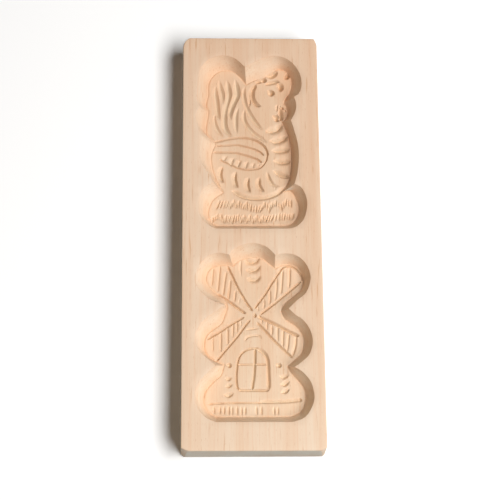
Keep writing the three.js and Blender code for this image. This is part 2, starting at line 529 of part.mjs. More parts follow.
// The room over a figure's floor, from well below its deepest cut, where no cut leaves it
function floorRoom(lobes, place) {
  const foot = outline(lobes, 'foot').map(place);
  const ring = (level) => foot.map((p) => new THREE.Vector3(p.x, p.y, level));
  return levelLoft([ring(FLOOR_LEVEL - HOLLOW_DEPTH / 2), ring(FLOOR_LEVEL + 2 * OVERCUT)]);
}

// Everything that is cut out of the face for one figure
function carving(figure, width, height, centreX, bottomY) {
  const place = placement(figure.lobes, width, height, centreX, bottomY);
  const cuts = figure.cuts.map(([tool, path, size = 1]) => stroke(resized(tool, size), path, place));
  const relief = cuts.reduce((whole, cut) => whole.add(cut));
  return hollow(figure.lobes, place).add(relief.intersect(floorRoom(figure.lobes, place)));
}

// The planed board, with its long edges eased
function blank() {
  const halfWidth = BOARD_WIDTH / 2 - EDGE_ROUNDING;
  const halfLength = BOARD_LENGTH / 2 - EDGE_ROUNDING;
  const shape = new THREE.Shape([
    new THREE.Vector2(-halfWidth, -halfLength),
    new THREE.Vector2(halfWidth, -halfLength),
    new THREE.Vector2(halfWidth, halfLength),
    new THREE.Vector2(-halfWidth, halfLength),
  ]);
  const geometry = new THREE.ExtrudeGeometry(shape, {
    depth: BOARD_THICKNESS - 2 * EDGE_ROUNDING,
    bevelThickness: EDGE_ROUNDING,
    bevelSize: EDGE_ROUNDING,
    bevelSegments: EDGE_FACETS,
  });
  geometry.translate(0, 0, EDGE_ROUNDING);
  return solidFromGeometry(geometry);
}

// What the sander takes off one corner, as a loft from below the back to above the face
function cornerWaste({ right, far, face, back, bow }) {
  const corner = new THREE.Vector2(right * BOARD_WIDTH / 2, far * BOARD_LENGTH / 2);
  const slope = (i) => (face[i] - back[i]) / BOARD_THICKNESS;
  const ring = (level) => {
    const cutX = back[0] + slope(0) * level;
    const cutY = back[1] + slope(1) * level;
    const edge = Array.from({ length: CORNER_STEPS + 1 }, (_, i) => {
      const angle = i / CORNER_STEPS * Math.PI / 2;
      return [cutX * (1 - Math.sin(angle) ** (2 / bow)), cutY * (1 - Math.cos(angle) ** (2 / bow))];
    });
    const outside = [[cutX, -OVERCUT], [-OVERCUT, -OVERCUT], [-OVERCUT, cutY]];
    const points = [...edge, ...outside.reverse()];
    const placed = points.map(([x, y]) => new THREE.Vector3(corner.x - right * x, corner.y - far * y, level));
    return THREE.ShapeUtils.isClockWise(placed) ? placed.reverse() : placed;
  };
  return levelLoft([ring(-OVERCUT), ring(BOARD_THICKNESS + OVERCUT)]);
}

function mouldBoard() {
  const windmillBottom = BOTTOM_LAND - BOARD_LENGTH / 2;
  const roosterBottom = windmillBottom + WINDMILL_HEIGHT + MIDDLE_LAND;
  const rooster = carving(ROOSTER, ROOSTER_WIDTH, ROOSTER_HEIGHT, 0, roosterBottom);
  const windmill = carving(WINDMILL, WINDMILL_WIDTH, WINDMILL_HEIGHT, WINDMILL_OFFSET, windmillBottom);
  const sanded = CORNERS.reduce((solid, corner) => solid.subtract(cornerWaste(corner)), blank());
  return sanded.subtract(rooster).subtract(windmill);
}

const beech = new THREE.MeshStandardMaterial({ color: 0xe6cba8, roughness: 0.62, metalness: 0 });
const board = new THREE.Mesh(geometryFromSolid(mouldBoard()), beech);
board.name = 'mould_board';

const mould = new THREE.Group();
mould.name = 'biscuit_mould';
mould.add(board);

export default mould;
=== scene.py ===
"""A two-figure cookie mould, carved by hand into one beech board, on a white studio floor.

The board is one closed mesh. Its walls and edges are grids of rings, and the floors of its two
hollows are fine height fields, triangulated with rows of vertices along the cuts' paths.
"""

import logging
import math
from dataclasses import dataclass
from enum import Enum
from typing import ClassVar

import bmesh
import bpy
import numpy as np
from mathutils import Matrix, Vector
from mathutils.geometry import delaunay_2d_cdt


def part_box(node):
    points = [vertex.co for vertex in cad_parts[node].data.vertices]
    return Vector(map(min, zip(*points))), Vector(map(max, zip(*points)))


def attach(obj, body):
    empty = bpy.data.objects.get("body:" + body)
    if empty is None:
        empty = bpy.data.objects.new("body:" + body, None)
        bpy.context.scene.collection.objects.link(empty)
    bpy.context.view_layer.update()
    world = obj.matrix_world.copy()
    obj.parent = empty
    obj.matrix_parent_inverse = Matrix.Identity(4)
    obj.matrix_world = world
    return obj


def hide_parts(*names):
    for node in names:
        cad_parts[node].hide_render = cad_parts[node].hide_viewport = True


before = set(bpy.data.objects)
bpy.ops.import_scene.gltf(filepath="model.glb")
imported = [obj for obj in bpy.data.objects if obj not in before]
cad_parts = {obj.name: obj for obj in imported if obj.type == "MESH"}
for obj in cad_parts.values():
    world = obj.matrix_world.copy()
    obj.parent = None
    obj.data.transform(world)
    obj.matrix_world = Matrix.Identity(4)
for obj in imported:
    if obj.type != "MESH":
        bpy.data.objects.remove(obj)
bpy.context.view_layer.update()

LOG = logging.getLogger("cookie_mould")
MM = 0.001
# Points that lie closer than this, in metres, become one
WELD = 0.001 * MM
# How far beyond a blade of grass the tool enters and leaves, in millimetres
BLADE_ENTRY = 0.9
# Faces that meet at a sharper bend than this are shaded apart
CREASE_DEGREES = 38.0
# A spline's steps from one of its points to the next
SPLINE_STEPS = 24
# How many points are measured at once, which bounds the memory
BATCH = 3000
# Points of a drawing that lie this close are one, and this close to a loop they lie on it
SAME_POINT = 1e-5
ON_LOOP = 1e-4
# Keeps a division by the square of a length from a division by nothing
TINY = 1e-12

# The X and Y of each point of a path in turn, in millimetres
Path = tuple[float, ...]


@dataclass(frozen=True)
class Flank:
    """One side of a cut: how wide it is in millimetres, and its section.

    A bottom of 1 runs straight into the keel and 2 is round there. A lip of 1 breaks off crisply
    at the floor, and a higher one runs out softly.
    """

    width: float
    bottom: float = 1.0
    lip: float = 1.0


@dataclass(frozen=True)
class Cut:
    """The groove that one tool leaves in the floor, in millimetres.

    The flanks lie to the left and right of the keel, seen along the tool's path. The keel lies to
    the left of the path by the lead, a share of the right flank's width. A lead of 1 puts the
    right lip on the path.
    """

    left: Flank
    right: Flank
    depth: float
    taper: float
    lead: float = 0.3


class Tool(Enum):
    """The carver's tools. Most are held tilted, so that one flank is broad and the other steep."""

    PARTING = Cut(Flank(0.9), Flank(1.0), 2.0, 2.2)
    VEINER = Cut(Flank(0.8), Flank(0.8), 1.9, 2.2, lead=0.0)
    SLAT = Cut(Flank(1.2, lip=1.3), Flank(0.95), 1.1, 2.4)
    BLADE = Cut(Flank(1.25, lip=1.2), Flank(1.15), 1.45, 3.0)
    CRESCENT = Cut(Flank(2.8, bottom=1.2, lip=1.6), Flank(1.5), 2.2, 4.0)
    SCALLOP = Cut(Flank(4.0, lip=2.2), Flank(3.5, lip=1.8), 3.0, 4.5, lead=0.2)
    FLUTE = Cut(Flank(2.4, bottom=2.0, lip=2.0), Flank(2.4, bottom=1.4), 1.9, 8.0, lead=1.0)
    SCOOP = Cut(Flank(2.4, lip=1.3), Flank(1.4, lip=1.1), 1.0, 2.2, lead=0.7)
    GOUGE = Cut(Flank(1.2, lip=1.4), Flank(2.6, bottom=1.3, lip=1.1), 2.7, 4.0)
    PIT = Cut(Flank(1.8, bottom=1.4), Flank(2.2, bottom=1.3, lip=1.1), 2.7, 1.8)
    BORDER = Cut(Flank(2.2, lip=1.6), Flank(1.5, lip=1.1), 1.9, 5.0)


# A tool, and a row for each of its strokes: the stroke's size, and then its path
Cuts = tuple[Tool | Path, ...]


@dataclass(frozen=True)
class Stroke:
    """One stroke of a tool along a smooth path through a few points.

    Its size scales the width and the depth of the tool's cut.
    """

    tool: Tool
    path: Path
    size: float


@dataclass
class Surface:
    """A patch of the mesh: points as an (n, 3) array in millimetres, and faces of 3 or 4."""

    points: np.ndarray
    faces: np.ndarray


def run_along(path: np.ndarray) -> np.ndarray:
    """How far along an (n, 2) path each of its points lies."""
    return np.concatenate([[0], np.cumsum(np.linalg.norm(np.diff(path, axis=0), axis=1))])


def resampled(path: np.ndarray, count: int) -> np.ndarray:
    """A path's points moved to equal steps, so that there are count steps."""
    run = run_along(path)
    at = np.linspace(0, run[-1], count + 1)
    return np.stack([np.interp(at, run, path[:, 0]), np.interp(at, run, path[:, 1])], axis=1)


def smooth_path(points: Path, step: float) -> np.ndarray:
    """Evenly spaced points along a smooth curve.

    The curve is a Catmull-Rom spline: between two points it follows the cubic whose slopes are
    half the difference of their neighbours. Two points give a straight line.

    Args:
        points: the points that the curve runs through.
        step: the wanted distance between neighbours.

    Returns:
        An (n, 2) array from the first point to the last.
    """
    knots = np.array(points, float).reshape(-1, 2)
    ends = np.vstack([knots[:1], knots, knots[-1:]])
    before, start, stop, after = ends[:-3], ends[1:-2], ends[2:-1], ends[3:]
    t = np.linspace(0, 1, SPLINE_STEPS, endpoint=False)[None, :, None]
    slope_in = (stop - before)[:, None] / 2
    slope_out = (after - start)[:, None] / 2
    rise = (stop - start)[:, None]
    curve = (
        start[:, None]
        + slope_in * t
        + (3 * rise - 2 * slope_in - slope_out) * t**2
        + (slope_in + slope_out - 2 * rise) * t**3
    )
    dense = np.vstack([curve.reshape(-1, 2), knots[-1:]])
    return resampled(dense, max(1, math.ceil(run_along(dense)[-1] / step)))


def batches(count: int) -> list[np.ndarray]:
    """The numbers below a count, in batches of bounded size."""
    return np.array_split(np.arange(count), max(1, count // BATCH))


def inside(points: np.ndarray, loop: np.ndarray) -> np.ndarray:
    """Tells which points lie inside a closed loop, by counting the edges to their right.

    Args:
        points: an (n, 2) array.
        loop: an (m, 2) array, closed from its last point to its first.

    Returns:
        An array of n booleans.
    """
    stop = np.roll(loop, -1, axis=0)
    height = np.where(stop[:, 1] == loop[:, 1], 1, stop[:, 1] - loop[:, 1])
    result = np.zeros(len(points), bool)
    for part in batches(len(points)):
        x = points[part, 0, None]
        y = points[part, 1, None]
        spans = (loop[:, 1] > y) != (stop[:, 1] > y)
        cross = loop[:, 0] + (y - loop[:, 1]) * (stop[:, 0] - loop[:, 0]) / height
        result[part] = np.count_nonzero(spans & (x < cross), axis=1) % 2 == 1
    return result


def distance_to_loop(points: np.ndarray, loop: np.ndarray) -> np.ndarray:
    """The distance from each point to the nearest edge of a closed loop.

    Args:
        points: an (n, 2) array.
        loop: an (m, 2) array, closed from its last point to its first.

    Returns:
        An array of n distances.
    """
    edge = np.roll(loop, -1, axis=0) - loop
    length = np.maximum((edge**2).sum(1), TINY)
    result = np.zeros(len(points))
    for part in batches(len(points)):
        offset = points[part, None] - loop
        along = np.clip((offset * edge).sum(2) / length, 0, 1)
        gap = offset - along[..., None] * edge
        result[part] = np.sqrt((gap**2).sum(2).min(1))
    return result


def triangulated(loops: list[np.ndarray], dots: np.ndarray, lines: list[np.ndarray]) -> Surface:
    """Fills the area inside the first loop and outside the other ones with triangles.

    Args:
        loops: closed loops as (n, 2) arrays. Their points stay as they are.
        dots: free points inside the area, as an (n, 2) array.
        lines: open lines that the triangles' edges follow, as (n, 2) arrays.

    Returns:
        A flat surface at level 0, with all its faces turned up.
    """
    edges = []
    total = 0
    for number, line in enumerate([*loops, *lines]):
        ids = np.arange(total, total + len(line))
        pairs = np.stack([ids, np.roll(ids, -1)], axis=1)
        edges.append(pairs if number < len(loops) else pairs[:-1])
        total += len(line)
    flat = [Vector(p) for p in np.vstack([*loops, *lines, dots])]
    edges = np.vstack(edges).tolist()
    verts, _, faces, _, _, _ = delaunay_2d_cdt(flat, edges, [], 0, SAME_POINT)
    points = np.array([tuple(v) for v in verts])
    faces = np.array([f for f in faces if len(f) == 3])
    middle = points[faces].mean(1)
    keep = inside(middle, loops[0])
    for hole in loops[1:]:
        keep &= ~inside(middle, hole)
    faces = faces[keep]
    a, b, c = points[faces[:, 0]], points[faces[:, 1]], points[faces[:, 2]]
    turned = (b[:, 0] - a[:, 0]) * (c[:, 1] - a[:, 1]) < (b[:, 1] - a[:, 1]) * (c[:, 0] - a[:, 0])
    faces[turned] = faces[turned][:, ::-1]
    return Surface(at_level(points, 0.0), faces)


def rings_surface(rings: list[np.ndarray]) -> Surface:
    """A wall through closed rings of equal length, from the lowest to the highest.

    The rings run counter-clockwise seen from above, and the faces look away from them.
    """
    count = len(rings[0])
    first = np.arange(count)
    following = np.roll(first, -1)
    band = np.stack([first, following, following + count, first + count], axis=1)
    faces = np.vstack([band + i * count for i in range(len(rings) - 1)])
    return Surface(np.vstack(rings), faces)


def at_level(outline: np.ndarray, level: float | np.ndarray) -> np.ndarray:
    """A flat outline as points at one level, or at one level for each point."""
    return np.column_stack([outline, np.broadcast_to(level, len(outline))])


def turned_over(surface: Surface) -> Surface:
    """The same surface with its faces looking the other way."""
    return Surface(surface.points, surface.faces[:, ::-1])


def hex_grid(loop: np.ndarray, pitch: float) -> np.ndarray:
    """Points in rows of a honeycomb, as far as they lie inside a loop."""
    low, high = loop.min(0), loop.max(0)
    rows = np.arange(low[1], high[1], pitch * math.sqrt(3) / 2)
    columns = np.arange(low[0], high[0], pitch)
    x, y = np.meshgrid(columns, rows)
    x = x + np.where(np.arange(len(rows)) % 2, pitch / 2, 0)[:, None]
    dots = np.stack([x.ravel(), y.ravel()], axis=1)
    return dots[inside(dots, loop)]


class Carving:
    """The relief of one floor: it gives the depth of the cuts at any place."""

    STEP = 0.4
    NARROWING = 0.6
    LEAST_ENTRY = 1e-6

    def __init__(self, strokes: list[Stroke]) -> None:
        """Keeps the strokes, each with evenly spaced points along its path."""
        self.strokes = strokes
        self.lines = [smooth_path(stroke.path, self.STEP) for stroke in strokes]

    @staticmethod
    def measured(points: np.ndarray, line: np.ndarray) -> tuple[np.ndarray, np.ndarray]:
        """Where points lie beside a line.

        Args:
            points: an (n, 2) array.
            line: an (m, 2) array of evenly spaced points.

        Returns:
            How far each point lies to the left of the line, and how far its foot on the line is
            from the nearer end, which is negative beyond that end.
        """
        direction = np.gradient(line, axis=0)
        direction /= np.linalg.norm(direction, axis=1)[:, None]
        offset = points[:, None] - line
        nearest = (offset**2).sum(2).argmin(1)
        off = offset[np.arange(len(points)), nearest]
        ahead = direction[nearest]
        along = (off * ahead).sum(1)
        side = ahead[:, 0] * off[:, 1] - ahead[:, 1] * off[:, 0]
        step = np.linalg.norm(line[1] - line[0])
        place = nearest * step + along
        return side, np.minimum(place, step * (len(line) - 1) - place)

    def near(self, points: np.ndarray, number: int, spare: float) -> np.ndarray:
        """The indices of the points in the box round one stroke's cut and a spare margin."""
        stroke, line = self.strokes[number], self.lines[number]
        cut = stroke.tool.value
        reach = stroke.size * (cut.left.width + cut.right.width) + spare
        inner = (points > line.min(0) - reach) & (points < line.max(0) + reach)
        return np.flatnonzero(inner.all(1))

    def stroke_depth(self, points: np.ndarray, number: int) -> np.ndarray:
        """The depth of one stroke.

        Across a flank it is the full depth times (1 - share ^ bottom) ^ lip, where the share goes
        from 0 at the keel to 1 at the lip. Towards both ends the cut gets shallower along a
        quarter of a sine wave, and narrower with a weaker power of it.
        """
        stroke = self.strokes[number]
        cut, size = stroke.tool.value, stroke.size
        line = self.lines[number]
        side, to_end = self.measured(points, line)
        length = np.linalg.norm(line[1] - line[0]) * (len(line) - 1)
        into = np.clip(to_end / min(cut.taper, length / 2), 0, 1)
        entry = np.sin(into * math.pi / 2)
        narrow = size * np.maximum(entry, self.LEAST_ENTRY) ** self.NARROWING
        across = side - cut.lead * cut.right.width * narrow
        left = np.clip(across / (cut.left.width * narrow), 0, 1)
        right = np.clip(-across / (cut.right.width * narrow), 0, 1)
        on_left = (1 - left**cut.left.bottom) ** cut.left.lip
        on_right = (1 - right**cut.right.bottom) ** cut.right.lip
        return size * cut.depth * entry * np.where(across > 0, on_left, on_right)

    def depth(self, points: np.ndarray) -> np.ndarray:
        """The depth of the deepest cut at each point of an (n, 2) array."""
        result = np.zeros(len(points))
        for number in range(len(self.strokes)):
            chosen = self.near(points, number, 0.0)
            if len(chosen):
                made = self.stroke_depth(points[chosen], number)
                result[chosen] = np.maximum(result[chosen], made)
        return result

    def worked(self, points: np.ndarray, margin: float) -> np.ndarray:
        """Tells which points lie in a cut or within a margin of one."""
        result = np.zeros(len(points), bool)
        for number, stroke in enumerate(self.strokes):
            chosen = self.near(points, number, margin)
            if len(chosen):
                side, to_end = self.measured(points[chosen], self.lines[number])
                cut = stroke.tool.value
                left = stroke.size * (cut.left.width + cut.lead * cut.right.width)
                right = stroke.size * (1 - cut.lead) * cut.right.width
                across = (side < left + margin) & (side > -right - margin)
                result[chosen] |= across & (to_end > -margin)
        return result


@dataclass
class Figure:
    """A figure carved into the board as a hollow. Its drawing is in millimetres.

    X is measured from the board's centre line, and Y from the figure's lowest point. The
    lobes of its outline run clockwise from notch to notch, each with its rim at the face and
    its foot on the floor. The floor's free points keep off the foot and off the cuts' paths,
    and those paths keep off the foot, by shares of the fine pitch. The profile of the eased
    rim says how far out and how far below the face it runs, in shares of the ease.
    """

    LOBES: ClassVar[tuple[tuple[Path, Path], ...]] = ()
    CUTS: ClassVar[tuple[Cuts, ...]] = ()

    bottom: float
    top_level: float
    depth: float = 9.0
    cove: float = 0.45
    bowl: float = 0.4
    bowl_reach: float = 9.0
    quirk: float = 0.65
    quirk_width: float = 0.95
    quirk_bend: float = 1.2
    fine_pitch: float = 0.36
    coarse_pitch: float = 1.1
    dots_off_foot: float = 0.5
    dots_off_line: float = 0.55
    line_off_foot: float = 0.4
    outline_step: float = 0.75
    rim_ease: float = 0.25
    rim_profile: tuple[tuple[float, float], ...] = ((0.35, 0.3), (1.0, 0.0))
    wall_rings: int = 11
    wall_spacing: float = 0.9

    def grass(self) -> list[Stroke]:
        """The blades of grass."""
        raise NotImplementedError

    def strokes(self) -> list[Stroke]:
        """All strokes of the relief."""
        cuts = [Stroke(tool, row[1:], row[0]) for tool, *rows in self.CUTS for row in rows]
        return cuts + self.grass()

    def moved(self, points: np.ndarray) -> np.ndarray:
        """Points of the drawing at their place on the board."""
        return points + np.array([0.0, self.bottom])

    def outlines(self) -> tuple[np.ndarray, np.ndarray]:
        """The foot and the rim as loops with matching points, counter-clockwise."""
        feet = []
        rims = []
        for rim_path, foot_path in self.LOBES:
            rim = smooth_path(rim_path, self.outline_step)
            foot = smooth_path(foot_path, self.outline_step)
            count = len(rim) - 1
            rims.append(resampled(rim, count)[:-1])
            feet.append(resampled(foot, count)[:-1])
        return np.vstack(feet)[::-1], np.vstack(rims)[::-1]

    def floor_level(self, points: np.ndarray, foot: np.ndarray, carving: Carving) -> np.ndarray:
        """The level of the floor at points of the drawing.

        It lies a hollow's depth below the face. From the foot of the wall it sinks a little
        towards the middle along a parabola. A quirk, which is the fine groove that parts the
        figure from the wall, is deepest at the foot and runs out along a power curve. Where it
        meets a cut of the relief, the deeper of the two counts.
        """
        gap = distance_to_loop(points, foot)
        outer = np.clip(1 - gap / self.bowl_reach, 0, 1)
        groove = self.quirk * np.clip(1 - gap / self.quirk_width, 0, 1) ** self.quirk_bend
        cuts = np.maximum(carving.depth(points), groove)
        return self.top_level - self.depth - self.bowl * (1 - outer**2) - cuts

    def grid(self, foot: np.ndarray, carving: Carving) -> np.ndarray:
        """Free points for the floor: close together where it is worked, and wide elsewhere."""
        margin = self.fine_pitch
        kept = []
        for pitch, worked in ((self.fine_pitch, True), (self.coarse_pitch, False)):
            dots = hex_grid(foot, pitch)
            gap = distance_to_loop(dots, foot)
            busy = carving.worked(dots, margin) | (gap < self.quirk_width + margin)
            kept.append(dots[(busy == worked) & (gap > self.dots_off_foot * self.fine_pitch)])
        return np.vstack(kept)

    def floor(self, foot: np.ndarray, carving: Carving) -> Surface:
        """The floor as a height field, with rows of points along the paths of the cuts."""
        dots = self.grid(foot, carving)
        lines = []
        reach = self.dots_off_line * self.fine_pitch
        for line in carving.lines:
            away = distance_to_loop(line, foot) > self.line_off_foot * self.fine_pitch
            within = inside(line, foot) & away
            kept = line[within]
            if len(kept) < 2 or np.any(np.diff(np.flatnonzero(within)) > 1):
                continue
            lines.append(kept)
            box = ((dots > kept.min(0) - reach) & (dots < kept.max(0) + reach)).all(1)
            close = np.flatnonzero(box)
            gap = np.sqrt(((dots[close, None] - kept) ** 2).sum(2).min(1))
            dots = np.delete(dots, close[gap < reach], axis=0)
        flat = triangulated([foot], dots, lines)
        places = flat.points[:, :2]
        on_foot = distance_to_loop(places, foot) < ON_LOOP
        level = self.floor_level(places, foot, carving)
        level = np.where(on_foot, self.foot_level(), level)
        return Surface(at_level(self.moved(places), level), flat.faces)

    def foot_level(self) -> float:
        """The level at the bottom of the quirk, where the wall starts."""
        return self.top_level - self.depth - self.quirk

    def wall(self, foot: np.ndarray, rim: np.ndarray) -> Surface:
        """The coved wall, from the foot to the eased edge at the rim.

        At a share s of its run the wall has reached s (1 - cove (1 - s)) of its height.
        """
        ease = self.rim_ease
        height = self.top_level - ease - self.foot_level()
        rings = []
        for share in np.linspace(0, 1, self.wall_rings) ** self.wall_spacing:
            level = self.foot_level() + height * share * (1 - self.cove * (1 - share))
            rings.append(at_level(self.moved(foot + (rim - foot) * share), level))
        for out, below in self.rim_profile:
            eased = self.moved(self.outset(rim, out * ease))
            rings.append(at_level(eased, self.top_level - below * ease))
        return turned_over(rings_surface(rings))

    @staticmethod
    def outset(loop: np.ndarray, gap: float) -> np.ndarray:
        """A counter-clockwise loop with its points moved out by a small gap."""
        ahead = np.roll(loop, -1, axis=0) - np.roll(loop, 1, axis=0)
        ahead /= np.linalg.norm(ahead, axis=1)[:, None]
        return loop + gap * np.column_stack([ahead[:, 1], -ahead[:, 0]])

    def build(self) -> tuple[list[Surface], np.ndarray]:
        """The surfaces of the hollow, and the loop where it meets the face."""
        foot, rim = self.outlines()
        surfaces = [self.floor(foot, Carving(self.strokes())), self.wall(foot, rim)]
        return surfaces, self.moved(self.outset(rim, self.rim_ease))


def blades(rows: tuple[Path, ...], size: float = 1.0, between: float = 0.0) -> list[Stroke]:
    """Blades of grass, where the tool enters and leaves a little outside.

    Args:
        rows: the foot and the tip of each blade.
        size: the size of the blades.
        between: the size of one more blade halfway between two neighbours, or 0 for none.

    Returns:
        One stroke for each blade.
    """
    drawn = [(*row, size) for row in rows]
    if between:
        middles = (np.array(rows[1:]) + np.array(rows[:-1])) / 2
        drawn += [(*row, between) for row in middles.tolist()]
    strokes = []
    for x0, y0, x1, y1, scale in drawn:
        spare = BLADE_ENTRY / math.hypot(x1 - x0, y1 - y0)
        dx, dy = spare * (x1 - x0), spare * (y1 - y0)
        strokes.append(Stroke(Tool.BLADE, (x0 - dx, y0 - dy, x1 + dx, y1 + dy), scale))
    return strokes


